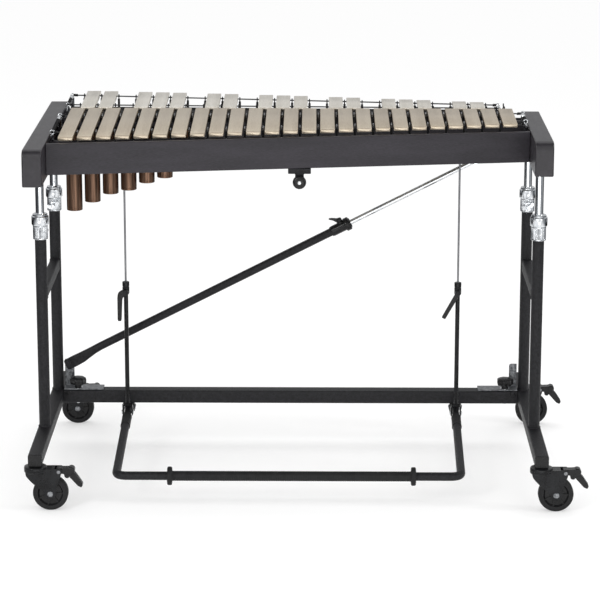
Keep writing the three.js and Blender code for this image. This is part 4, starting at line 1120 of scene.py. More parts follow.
@dataclass
class BarRow:
    """One row of tuned bars and its two suspension cords.

    Attributes:
        name: row's name in the CAD.
        bars: X, front and rear of each bar.
        lines: the two nodal lines.
        ends: X of the cords' two ends.
        finish: what the bars are plated with.
    """

    name: str
    bars: list[tuple[float, float, float]]
    lines: tuple[Line, Line]
    ends: tuple[float, float]
    finish: Finish

    def bar(self, x: float, front: float, rear: float) -> Surface:
        """One bar: a flat plate with its long and end edges softened, lying on the rake.

        Its rounded section is carried along Y and shrinks by 0.45 and then 1.3 mm at each end.

        Args:
            x: X of the bar.
            front: Y of its front end.
            rear: Y of its rear end.

        Returns:
            The skin.
        """
        half_wide, half_thick = PLAN.wide / 2, PLAN.thick / 2
        section = rounded_rectangle(half_wide, half_thick, 1.3, 4)
        y = np.array([front, front + 0.5, front + 1.5, rear - 1.5, rear - 0.5, rear])
        shrink = np.array([1.3, 0.45, 0.0, 0.0, 0.45, 1.3])[:, None]
        across = x + section[None, :, 0] * (1 - shrink / half_wide)
        height = PLAN.cord_z(y)[:, None] + section[None, :, 1] * (1 - shrink / half_thick)
        along = np.repeat(y[:, None], len(section), axis=1)
        return capped(np.stack([across, along, height], axis=-1)[:, ::-1])

    def cord(self, line: Line) -> Surface:
        """Cord that passes through every bar: a straight run along the nodal line.

        Args:
            line: its nodal line.

        Returns:
            The skin.
        """
        x = np.linspace(*self.ends, 40)
        y = PLAN.line(line)(x)
        return sweep(np.column_stack([x, y, PLAN.cord_z(y)]), 1.5, 10)

    def build(self) -> None:
        """Makes the row's bars, which stand for its CAD node, and its two cords."""
        bars = joined(self.bar(*place) for place in self.bars)
        piece(f"{self.name}_tuned_bars", bars, self.finish, "bed", [f"{self.name}_bars"], sharp=40)
        cords = joined(self.cord(line) for line in self.lines)
        piece(f"{self.name}_suspension_cords", cords, CORD, "bed")


@dataclass
class Support:
    """Rail under one nodal line, with a hooked post at each gap between bars.

    Attributes:
        line: nodal line that it follows.
        posts: X of each post.
        finish: what the posts are made of.
        half_thick: half of the rail's thickness.
        low: the rail's bottom edge.
        high: the rail's top edge.
        hook: radius of a hook's centre line.
        wire: radius of a post's wire.
    """

    line: Line
    posts: np.ndarray
    finish: Finish
    half_thick: float = 4.5
    low: float = 738.0
    high: float = 766.0
    hook: float = 3.4
    wire: float = 1.35

    def post(self, x: float) -> Surface:
        """Wire post whose head is bent into an open hook round the cord.

        The centre line goes up in front of the cord and then round it on the hook's circle.

        Args:
            x: X of the post.

        Returns:
            The skin.
        """
        y = PLAN.line(self.line)(x)
        z = float(PLAN.cord_z(y))
        a = np.linspace(math.pi, -0.25 * math.pi, 14)
        ring = np.column_stack([np.full(14, x), y + self.hook * np.cos(a),
                                z + self.hook * np.sin(a)])
        stem = np.array([[x, y - self.hook, self.high - 2.0], [x, y - self.hook, z - 4.0]])
        return sweep(np.concatenate([stem, ring]), self.wire, 10, up=(1, 0, 0))

    def sleeve(self, x: float) -> Surface:
        """Rubber sleeve that keeps the bars from touching the post.

        Args:
            x: X of the post.

        Returns:
            The skin.
        """
        y = PLAN.line(self.line)(x)
        z = float(PLAN.cord_z(y))
        return revolve([(1.4, self.high), (2.7, self.high + 0.4), (2.7, z - 6), (2.2, z - 5)],
                       segments=16).moved(x, y - self.hook)

    def felt(self) -> Surface:
        """Felt strip behind the posts, up to 0.3 under the bars: a dark sheet that paints the
        shade seen in the gaps between the rear row's bars.

        Returns:
            The skin.
        """
        x = np.array([-505.0, 480.0])
        middle = PLAN.line(self.line)(x)
        front, rear, low = middle - 0.4, middle + 4.2, np.full(2, self.high + 0.1)
        corners = ((front, low), (rear, low), (rear, PLAN.underside(rear, 0.3)),
                   (front, PLAN.underside(front, 0.3)))
        return capped(np.stack([np.column_stack([x, y, z]) for y, z in corners], axis=1))

    def build(self) -> None:
        """Makes the rail, its posts and their sleeves, and under the rear row's front a felt strip
        that paints the shade between its bars.
        """
        name = self.line.word
        rail = bed_board(PLAN.line(self.line), self.half_thick, self.low, self.high)
        piece(f"{name}_rail", rail, LACQUER, "bed", [f"{name}_support"], bevel=0.8)
        piece(f"{name}_posts", joined(self.post(x) for x in self.posts), self.finish, "bed")
        piece(f"{name}_post_sleeves", joined(self.sleeve(x) for x in self.posts),
              BLACK_OXIDE, "bed")
        # Dark felt strip that stands in as painted shade in the gaps between the rear row's bars.
        if self.line is Line.ACCIDENTALS_FRONT:
            piece("rear_row_felt_strip", self.felt(), FELT, "bed", bevel=0.6)


@dataclass
class BedRail:
    """A long lacquered board between the end blocks.

    Attributes:
        name: CAD node.
        centre: Y of its middle at X = 0.
        slope: change of Y along X.
        low: bottom edge.
        high: top edge.
        half_thick: half of its thickness.
    """

    name: str
    centre: float
    slope: float
    low: float
    high: float
    half_thick: float = 6.0

    def build(self) -> None:
        """Makes the board with softened edges."""
        board = bed_board(lambda x: self.centre + self.slope * x, self.half_thick, self.low,
                          self.high)
        piece(f"lacquered_{self.name}", board, LACQUER, "bed", [self.name], bevel=1.4)


@dataclass
class CordEnd:
    """Post, eyelet and hook that hold one end of a cord.

    Attributes:
        name: which end.
        line: nodal line of the cord.
        x: X of the post.
        reach: X where the cord ends.
        eye: radius of the eyelet's ring.
    """

    name: str
    line: Line
    x: float
    reach: float
    eye: float

    def eyelet(self) -> Surface:
        """Two-step post that carries a ring of wire standing across Y.

        Returns:
            The skin.
        """
        y = PLAN.line(self.line)(self.x)
        z = float(PLAN.cord_z(y))
        wire = self.eye / 3
        foot = z - self.eye - wire
        post = joined([rod(4.2, 747, foot - 1, segments=28),
                       rod(2.6, foot - 1.4, foot + 1.4, segments=20)])
        a = np.linspace(0, 2 * math.pi, 33)
        ring = np.column_stack([self.x + self.eye * np.cos(a), np.full(33, y),
                                z + 0.5 + self.eye * np.sin(a)])
        return joined([post.moved(self.x, y), sweep(ring, wire, 12, up=(0, 1, 0))])

    def hook(self) -> Surface:
        """Coiled hook from the eyelet's ring to the cord's end.

        Returns:
            The skin.
        """
        line = PLAN.line(self.line)
        z = float(PLAN.cord_z(line(self.x)))
        near = self.x + math.copysign(self.eye, self.reach - self.x)
        return helix((near, line(self.x), z), (self.reach, line(self.reach), z), 2.4, 0.9, 5)

    def build(self) -> None:
        """Makes the chrome post with its eyelet, and the black hook on the cord's end."""
        piece(f"{self.name}_cord_post", self.eyelet(), CHROME, "bed")
        piece(f"{self.name}_cord_hook", self.hook(), BLACK_OXIDE, "bed")


@dataclass
class CordTensioner:
    """Coil spring and chrome link that join a row's two cords at one end.

    Attributes:
        name: which end.
        x: X that it lies along.
        front: Y of its front end.
        rear: Y of its rear end.
        link_long: length of the link.
        coil_pitch: distance between the spring's turns.
    """

    name: str
    x: float
    front: float
    rear: float
    link_long: float = 34.0
    coil_pitch: float = 4.2

    def link(self) -> Surface:
        """Chrome link turned about Y: a barrel with a neck and a ball at each end.

        Returns:
            The skin.
        """
        start = self.rear - self.link_long
        profile = [(POINT, 0), (2.6, 0.4), (3.4, 2.4), (2.6, 4.6), (1.8, 6), (3.9, 7.2),
                   (4.2, 8.4), (4.2, 24), (3.9, 25.2), (1.8, 26.4), (2.6, 28), (3.4, 30),
                   (2.6, 32), (POINT, 32.4)]
        rise = math.degrees(math.atan(PLAN.rake))
        link = revolve(profile, Axis.Y, 28).turned(Axis.X, rise)
        return link.moved(self.x, start, float(PLAN.cord_z(start)))

    def spring(self) -> Surface:
        """Coil spring from the front end to just before the link.

        Returns:
            The skin.
        """
        end = self.rear - self.link_long - 0.5
        a = (self.x, self.front, PLAN.cord_z(self.front))
        b = (self.x, end, PLAN.cord_z(end))
        return helix(a, b, 3.0, 0.9, int((end - self.front) / self.coil_pitch))

    def build(self) -> None:
        """Makes the spring in front and the link behind it."""
        piece(f"{self.name}_tension_spring", self.spring(), BLACK_OXIDE, "bed")
        piece(f"{self.name}_tension_link", self.link(), CHROME, "bed")


# Each cord end: its name, its line, X of the post, X where the cord ends, radius of the eyelet.
CORD_ENDS = (
    ("front_left", Line.NATURALS_FRONT, -517.0, -506.5, 4.3),
    ("inner_left", Line.NATURALS_REAR, -517.0, -506.5, 4.3),
    ("front_right", Line.NATURALS_FRONT, 524.0, 511.2, 4.3),
    ("inner_right", Line.NATURALS_REAR, 524.0, 511.2, 4.3),
    ("middle_left", Line.ACCIDENTALS_FRONT, -511.0, -498.6, 3.3),
    ("rear_left", Line.ACCIDENTALS_REAR, -511.0, -498.6, 3.3),
    ("middle_right", Line.ACCIDENTALS_FRONT, 474.0, 462.9, 3.3),
    ("rear_right", Line.ACCIDENTALS_REAR, 474.0, 462.9, 3.3),
)
NATURAL_LINES = (Line.NATURALS_FRONT, Line.NATURALS_REAR)
ACCIDENTAL_LINES = (Line.ACCIDENTALS_FRONT, Line.ACCIDENTALS_REAR)


@dataclass
class Bed:
    """Everything that rises and falls with the chrome leg tubes, without the damper.

    Attributes:
        naturals: how many naturals there are.
        tensioner_inset: distance of a tensioner's ends from the two nodal lines.
    """

    naturals: int = 25
    tensioner_inset: float = 7.0

    def tube_socket(self) -> Surface:
        """Socket with a grub screw, where the right rear leg tube enters its block.

        Returns:
            The skin.
        """
        socket = revolve([(9.8, 682), (11.8, 682.4), (12.4, 684), (12.4, 698), (13.2, 699),
                          (13.2, 701.7), (9.8, 701.7)], segments=40, ring=True)
        screw = rod(3.0, -16.4, -11.8, Axis.Y, segments=6).moved(0, 0, 691)
        return joined([socket, screw]).moved(LEG_X, LEG_Y[Row.REAR])

    def frame(self) -> None:
        """Makes the two end blocks, the socket and the two long rails."""
        EndBlock(Side.LEFT, (-565, 50, 698), (-523, 687, 778)).build()
        EndBlock(Side.RIGHT, (530.5, 159, 702), (571, 561, 778)).build()
        piece("right_rear_tube_socket", self.tube_socket(), NYLON, "bed", sharp=40)
        BedRail("front_rail", 221.5, PLAN.skew, 708, 776).build()
        BedRail("rear_rail", 605.63, -0.1095, 708, 756).build()

    def rows(self) -> None:
        """Makes the supports with a post in each gap, and the two rows of bars."""
        gaps = PLAN.first + PLAN.pitch * (np.arange(self.naturals - 1) + 0.5)
        between = PLAN.first + PLAN.pitch * np.arange(self.naturals)
        for line in NATURAL_LINES:
            Support(line, gaps, GROUND_STEEL).build()
        for line in ACCIDENTAL_LINES:
            Support(line, between, BLACK_OXIDE).build()
        BarRow("natural", [PLAN.natural(i) for i in range(self.naturals)], NATURAL_LINES,
               (-506.3, 511.0), BAR_PLATE).build()
        # The rear row's bars take the same plating painted lighter, as painted sheen.
        BarRow("accidental", [PLAN.accidental(slot) for slot in PLAN.slots], ACCIDENTAL_LINES,
               (-498.4, 462.7), SHEEN_PAINTED_PLATE).build()

    def cord_ends(self) -> None:
        """Makes what holds the cords at their ends."""
        for end in CORD_ENDS:
            CordEnd(*end).build()
        for name, lines, x in (("left_front_row", NATURAL_LINES, -517.0),
                               ("right_front_row", NATURAL_LINES, 524.0),
                               ("left_rear_row", ACCIDENTAL_LINES, -511.0)):
            front, rear = (PLAN.line(line)(x) for line in lines)
            CordTensioner(name, x, front + self.tensioner_inset,
                          rear - self.tensioner_inset).build()

    def build(self) -> None:
        """Makes blocks, rails, supports, bars and cord ends."""
        self.frame()
        self.rows()
        self.cord_ends()


# The damper, its pull rods and the pedal.


# X and Y of the pull rods, X of the pedal's hinges, and heights of the fork's pin and the clamp.
ROD_X = {Side.LEFT: -379.0, Side.RIGHT: 385.0}
ROD_Y = 455.0
HINGE_X = {Side.LEFT: -379.4, Side.RIGHT: 385.8}
FORK_PIN_Z = 84.0
ROD_CLAMP_Z = 374.0


@dataclass
class Damper:
    """Felted damper board under the inner ends of both rows.

    Attributes:
        front: front edge.
        rear: rear edge.
        half_long: half of its length.
        gap: room between the felt and the bars.
        felt_thick: thickness of the felt.
        board_thick: thickness of the board.
    """

    front: float = 450.0
    rear: float = 496.0
    half_long: float = 503.0
    gap: float = 0.3
    felt_thick: float = 8.0
    board_thick: float = 11.0

    def layer(self, down: float, thick: float) -> Surface:
        """A strip on the bars' rake, whose top face is `down` below their undersides.

        Args:
            down: distance of its top below the bars.
            thick: thickness.

        Returns:
            The skin.
        """
        front, rear = (PLAN.underside(y, down) for y in (self.front, self.rear))
        outline = [(self.front, front - thick), (self.rear, rear - thick), (self.rear, rear),
                   (self.front, front)]
        return prism(outline, Axis.X, -self.half_long, self.half_long)

    def build(self) -> None:
        """Makes the board and its felt."""
        felt = self.layer(self.gap, self.felt_thick)
        board = self.layer(self.felt_thick + 0.6, self.board_thick)
        piece("damper_felt_strip", felt, FELT, "damper", ["damper_felt"], bevel=2.2, sharp=50)
        piece("damper_board", board, LACQUER, "damper", ["damper_rail"], bevel=1.0)


@dataclass
class PullRod:
    """Thin rod, the tube that takes it, and the clamp lever between them.

    Attributes:
        side: left or right rod.
        lean: degrees that the lever hangs away from straight down, towards low X.
    """

    side: Side
    lean: float

    def thin_rod(self) -> Surface:
        """Rod with a hexagonal coupling nut under the damper board.

        Returns:
            The skin.
        """
        top = PLAN.underside(ROD_Y, 19.9)
        nut = revolve([(4.0, top - 9), (4.5, top - 8.5), (4.5, top - 1.5), (4.0, top - 1)],
                      segments=6)
        foot = revolve([(3.2, top - 11), (3.6, top - 10.6), (3.6, top - 8.9), (3.2, top - 8.6)])
        return joined([rod(2.3, 165, top - 1, segments=24), nut, foot])

    def tube(self) -> Surface:
        """Tube with its swaged clamp head, whose bore shows at the top."""
        return revolve([(POINT, 105), (4.8, 105), (5.1, 106), (5.1, 365.6), (5.8, 366.2),
                        (7.6, 368.6), (8.1, 370.4), (8.1, 384), (7.4, 384.6), (7.4, 386.0),
                        (8.1, 386.6), (8.1, 395.6), (7.7, 396.6), (4.8, 397),
                        (2.65, 396.6), (2.65, 108), (POINT, 108)], segments=40)

    def fork(self) -> Surface:
        """Pressed fork that straddles the pedal's arm.

        Returns:
            The skin.
        """
        inner, outer, z = 9.05, 12.05, FORK_PIN_Z
        left = [(-5.3, z + 22), (-outer, z + 17.6), (-outer, z - 7), (-inner, z - 7),
                (-inner, z + 16)]
        right = [(inner, z + 16), (inner, z - 7), (outer, z - 7), (outer, z + 17.6), (5.3, z + 22)]
        corners = [2, 5, 2.4, 0.4, 2]
        return xz_plate(rounded(left + right, corners + corners[::-1], 5), -6, 6)

    def pin(self) -> Surface:
        """Clevis pin with a head and a spring clip.

        Returns:
            The skin.
        """
        left = rod(3.0, -14.5, -8.5, Axis.X, segments=28)
        right = rod(3.0, 8.5, 14.5, Axis.X, segments=28)
        head = revolve([(4.6, -14.4), (5.0, -14.0), (5.0, -12.8), (4.6, -12.4)], Axis.X, 28)
        clip = revolve([(4.4, 12.3), (4.8, 12.5), (4.8, 13.4), (4.4, 13.6)], Axis.X, 28)
        return joined([left, right, head, clip]).moved(0, 0, FORK_PIN_Z)

    def lever(self) -> tuple[Surface, Surface]:
        """Clamp screw and its handle: cranked on the left rod, straight on the right.

        Returns:
            Skins of the screw and of the handle.
        """
        screw = joined([
            rod(2.5, -10.4, -7.5, Axis.Y, segments=20),
            revolve([(5.6, -17.1), (6.2, -16.4), (6.2, -8.2), (5.7, -7.6)], Axis.Y, 40),
            revolve([(2.6, -18.4), (3.0, -18.0), (3.0, -17.0), (2.6, -16.8)], Axis.Y, 6)])
        if self.side is Side.LEFT:
            outline = rounded([(2, 7), (-8, 6), (-17, 0), (-19, -10), (-18.6, -64),
                               (-17.2, -68), (-10.6, -68), (-9.2, -64), (-7.4, -17), (-5.6, -11),
                               (5, -6.5), (7, 0)], [2, 4, 6, 6, 2, 1.5, 1.5, 2, 5, 4, 2, 2], 5)
        else:
            outline = rounded([(-5.2, 4), (5.2, 4), (4.6, -65), (4.0, -68), (-4.0, -68),
                               (-4.6, -65)], [3, 3, 1, 1, 1, 1], 5)
        handle = xz_plate(outline, -16.0, -10.4).turned(Axis.Y, self.lean)
        return screw, handle

    def build(self) -> None:
        """Makes the rod, tube, fork, pin and lever."""
        word = self.side.word
        x = ROD_X[self.side]
        tube_body, lever_body = f"pull_tube_{word}", f"pull_rod_lever_{word}"
        piece(f"{word}_thin_pull_rod", self.thin_rod().moved(x, ROD_Y), GROUND_STEEL, "damper",
              [f"pull_rod_{word}"])
        piece(f"{word}_pull_rod_tube", self.tube().moved(x, ROD_Y), BLACK_ZINC, tube_body,
              [f"pull_tube_{word}"], sharp=38)
        piece(f"{word}_pull_fork", self.fork().moved(x, ROD_Y), BLACK_ZINC, tube_body, bevel=0.5)
        piece(f"{word}_pull_pin", self.pin().moved(x, ROD_Y), CHROME, tube_body)
        screw, handle = self.lever()
        clamp = (x, ROD_Y, ROD_CLAMP_Z)
        piece(f"{word}_clamp_screw", screw.moved(*clamp), BLACK_ZINC, lever_body, [lever_body])
        piece(f"{word}_clamp_handle", handle.moved(*clamp), NYLON, lever_body, bevel=1.8)


@dataclass
class Pedal:
    """Bent tube pedal, its foot sleeve and the two hinges under the cross bar.

    Attributes:
        radius: outside of the tube where the pull forks straddle it.
        thick: outside of the tube from there to the front.
        thins: Y between which it goes from one to the other.
        hinge_y: Y of the hinge pins.
        hinge_z: height of the hinge pins.
        corner: X, Y and Z of the front right corner; the left one is mirrored.
    """

    radius: float = 8.25
    thick: float = 9.4
    thins: tuple[float, float] = (388.0, 400.0)
    hinge_y: float = 503.0
    hinge_z: float = 84.0
    corner: tuple[float, float, float] = (376.0, 48.0, 60.0)

    def arm(self, side: Side) -> np.ndarray:
        """The two ends of an arm's centre line: at its hinge barrel and at its corner.

        Args:
            side: which arm.

        Returns:
            Two points, the hinge's first.
        """
        x, y, z = self.corner
        return np.array([[HINGE_X[side], self.hinge_y - 6.5, self.hinge_z - 0.4],
                         [side.value * x, y, z]])

    def frame(self) -> Surface:
        """U-shaped tube from hinge to hinge, with points added where each arm grows thinner.

        Returns:
            The skin.
        """
        path = bent_path([*self.arm(Side.LEFT), *self.arm(Side.RIGHT)[::-1]], 24, 16)
        neck = np.array([[0.22], [0.26]])
        left = path[0] + (path[1] - path[0]) * neck
        right = path[-1] + (path[-2] - path[-1]) * neck[::-1]
        path = np.concatenate([path[:1], left, path[1:-1], right, path[-1:]])
        radius = np.interp(path[:, 1], self.thins, [self.thick, self.radius])
        return sweep(path, radius, 40)

    def eye(self, x: float) -> Surface:
        """Hinge barrel welded across the end of an arm, open for its pin."""
        barrel = revolve([(4.4, -9.1), (8.6, -9.4), (9.0, -9.0), (9.0, 9.0), (8.6, 9.4),
                          (4.4, 9.1)], Axis.X, 36, ring=True)
        return barrel.moved(x, self.hinge_y, self.hinge_z)

    def sleeve(self) -> Surface:
        """Rubber foot sleeve with a raised ring at each end and fine grooves for grip.

        Returns:
            The skin.
        """
        start, end = -264.0, 277.0
        inner, outer, ring, floor = 9.45, 10.9, 20.3, 10.65
        groove = np.array([(outer, 0.0), (floor, 0.5), (floor, 1.1), (outer, 1.6)])
        places = np.arange(start + 15, end - 14, 5.0)[:, None, None] * np.array([0.0, 1.0])
        profile = [(inner, start), (ring - 2.4, start), (ring - 0.7, start + 0.8),
                   (ring, start + 2.6), (ring, start + 7.8), (ring - 0.7, start + 9.6),
                   (ring - 2.4, start + 10.4), (outer + 1.4, start + 10.8), (outer, start + 12),
                   *(groove + places).reshape(-1, 2),
                   (outer, end - 12), (outer + 1.4, end - 10.8), (ring - 2.4, end - 10.4),
                   (ring - 0.7, end - 9.6), (ring, end - 7.8), (ring, end - 2.6),
                   (ring - 0.7, end - 0.8), (ring - 2.4, end), (inner, end)]
        return revolve(profile, Axis.X, 48, ring=True).moved(0, *self.corner[1:])

    def arm_grip(self, side: Side) -> Surface:
        """Moulded tube over an arm, in front of the pull fork, with a rounded lip at each end.

        Args:
            side: which arm.

        Returns:
            The skin.
        """
        hinge, corner = self.arm(side)
        y = np.array([430, 429, 426, 424, 368, 366, 363, 362], float)
        radius = np.array([8.8, 10.8, 11.4, 11.0, 11.0, 11.4, 10.8, 9.0])
        share = ((hinge[1] - y) / (hinge[1] - corner[1]))[:, None]
        return sweep(hinge + (corner - hinge) * share, radius, 32)

    def hinge(self, x: float) -> tuple[Surface, Surface]:
        """U bracket under the cross bar, and its pin with a bolt head and a nut.

        Args:
            x: X of the hinge.

        Returns:
            Skins of the bracket and of the pin.
        """
        inner, outer, z = 10.5, 13.5, self.hinge_z
        outline = rounded([(-outer, z - 9), (-inner, z - 9), (-inner, 93.7), (inner, 93.7),
                           (inner, z - 9), (outer, z - 9), (outer, 96.7), (-outer, 96.7)],
                          [0.4, 0.4, 1, 1, 0.4, 0.4, 3, 3], 5)
        cheeks = xz_plate(outline, self.hinge_y - 11, self.hinge_y + 11).moved(x)
        pin = joined([
            rod(4.0, -16.4, 16.4, Axis.X, segments=28),
            revolve([(5.4, -16.3), (6.2, -15.8), (6.2, -14.0), (6.0, -13.7)], Axis.X, 6),
            revolve([(6.0, 13.7), (6.2, 14.0), (6.2, 15.6), (5.4, 16.1)], Axis.X, 6)])
        return cheeks, pin.moved(x, self.hinge_y, z)

    def build(self) -> None:
        """Makes the pedal and its hinges."""
        piece("pedal_bent_tube", self.frame(), POWDER_COAT, "pedal", ["pedal_frame"])
        eyes = joined(self.eye(x) for x in HINGE_X.values())
        piece("pedal_hinge_barrels", eyes, BLACK_ZINC, "pedal", sharp=40)
        piece("pedal_rubber_sleeve", self.sleeve(), TREAD, "pedal", ["pedal_sleeve"], sharp=60)
        for side, x in HINGE_X.items():
            piece(f"{side.word}_arm_grip", self.arm_grip(side), TREAD, "pedal")
            cheeks, pin = self.hinge(x)
            piece(f"{side.word}_hinge_bracket", cheeks, BLACK_ZINC, "base",
                  [f"pedal_hinge_{side.word}"], bevel=0.4)
            piece(f"{side.word}_hinge_bolt", pin, CHROME, "base")


# The resonators, the front knob and the brace.


@dataclass
class Resonators:
    """Closed tubes under the seven lowest naturals, hung in one strip.

    Attributes:
        bottoms: height of each tube's lower end.
        top: height of the tubes' upper ends.
        radius: outside of a tube.
        wall: thickness of a tube.
        behind: distance of the tubes behind the middle between the two nodal lines.
    """

    bottoms: tuple[float, ...] = (588, 607, 625, 633, 649, 660, 675)
    top: float = 766.0
    radius: float = 17.75
    wall: float = 1.6
    behind: float = 28.0

    def place(self, i: int) -> tuple[float, float]:
        """X and Y of a tube.

        Args:
            i: number of the tube, from the left.

        Returns:
            The two numbers.
        """
        x = PLAN.natural(i)[0]
        front, rear = (PLAN.line(line)(x) for line in NATURAL_LINES)
        return x, (front + rear) / 2 + self.behind

    def tube(self, i: int) -> Surface:
        """Thin tube whose lower end is closed by a pressed cap with a small lip.

        Args:
            i: number of the tube, from the left.

        Returns:
            The skin.
        """
        z, r, top = self.bottoms[i], self.radius, self.top
        inside = r - self.wall
        profile = [(POINT, z + 1.2), (r - 3.4, z + 1.2), (r - 2.4, z + 0.2), (r - 0.8, z),
                   (r - 0.1, z + 0.8), (r - 0.1, z + 4.6), (r - 0.5, z + 5.0), (r - 0.5, z + 5.6),
                   (r, z + 6), (r, top - 0.8), (r - 0.4, top), (inside + 0.2, top),
                   (inside, top - 0.6), (inside, z + 4), (POINT, z + 4)]
        x, y = self.place(i)
        return revolve(profile, segments=56).moved(x, y)

    def strip(self) -> Surface:
        """Plate that carries the tubes between the two supports.

        Returns:
            The skin.
        """
        x0, x1 = BED_ENDS[0], PLAN.natural(len(self.bottoms))[0]
        front, rear = (PLAN.line(line) for line in NATURAL_LINES)
        room = 5.1
        return prism([(x0, front(x0) + room), (x1, front(x1) + room), (x1, rear(x1) - room),
                      (x0, rear(x0) - room)], Axis.Z, 744, 747)

    def build(self) -> None:
        """Makes the tubes and their strip."""
        tubes = joined(self.tube(i) for i in range(len(self.bottoms)))
        piece("resonator_tubes", tubes, ANODISED, "bed", ["resonator_bank"], sharp=35)
        piece("resonator_strip", self.strip(), BLACK_ZINC, "bed", bevel=0.4)


@dataclass
class FrontKnob:
    """Plate under the front rail with a turned hand knob.

    Attributes:
        x: X of the knob.
        z: height of the knob.
        rail_face: Y of the front rail's face at X = 0.
    """

    x: float = 22.0
    z: float = 679.0
    rail_face: float = 215.5

    def plate(self) -> Surface:
        """T-shaped plate whose neck holds the knob's stud.

        Returns:
            The skin.
        """
        neck, wing, low, high = 9.5, 25, 696, 707.7
        outline = rounded([
            (-wing, low), (-neck, low), (-neck, self.z - neck), (neck, self.z - neck),
            (neck, low), (wing, low), (wing, high), (-wing, high)], [2, 2, 7, 7, 2, 2, 1, 1], 6)
        return xz_plate(outline, 0, 14)

    def grip(self) -> Surface:
        """Knurled grip with two chamfers, turned from +Z to point at the player."""
        grip = fluted((0.0, 0.2, 3.0, 3.6, 4.4, 10.8, 12.4, 13.8, 14.6, 14.9),
                      (7.6, 8.2, 8.4, 12.6, 14.6, 14.6, 13.6, 11.6, 8.4, 5.2),
                      (0, 0, 0, 0.1, 0.3, 0.3, 0.15, 0, 0, 0), 36, 288)
        return grip.turned(Axis.X, 90)

    def stud(self) -> Surface:
        """Chrome stud: a domed end in the grip, and a hexagonal nut behind the plate.

        Returns:
            The skin.
        """
        dome = revolve([(POINT, -16.4), (2.4, -16.2), (3.9, -15.6), (4.4, -14.8), (4.4, -13)],
                       Axis.Y, 32)
        end = rod(3.0, 14.7, 19.4, Axis.Y, segments=24)
        nut = revolve([(5.0, 14.7), (5.5, 15.1), (5.5, 17.4), (5.0, 17.8)], Axis.Y, 6)
        return joined([dome, end, nut])

    def build(self) -> None:
        """Makes the plate, the grip and its stud."""
        face = self.rail_face + PLAN.skew * self.x
        piece("knob_plate", self.plate().moved(self.x, face), POWDER_COAT, "bed",
              ["front_knob_bracket"], bevel=0.8)
        at = (self.x, face - 0.3, self.z)
        piece("front_hand_knob_grip", self.grip().moved(*at), NYLON, "front_knob",
              ["front_knob"], sharp=60)
        piece("front_hand_knob_stud", self.stud().moved(*at), CHROME, "front_knob")


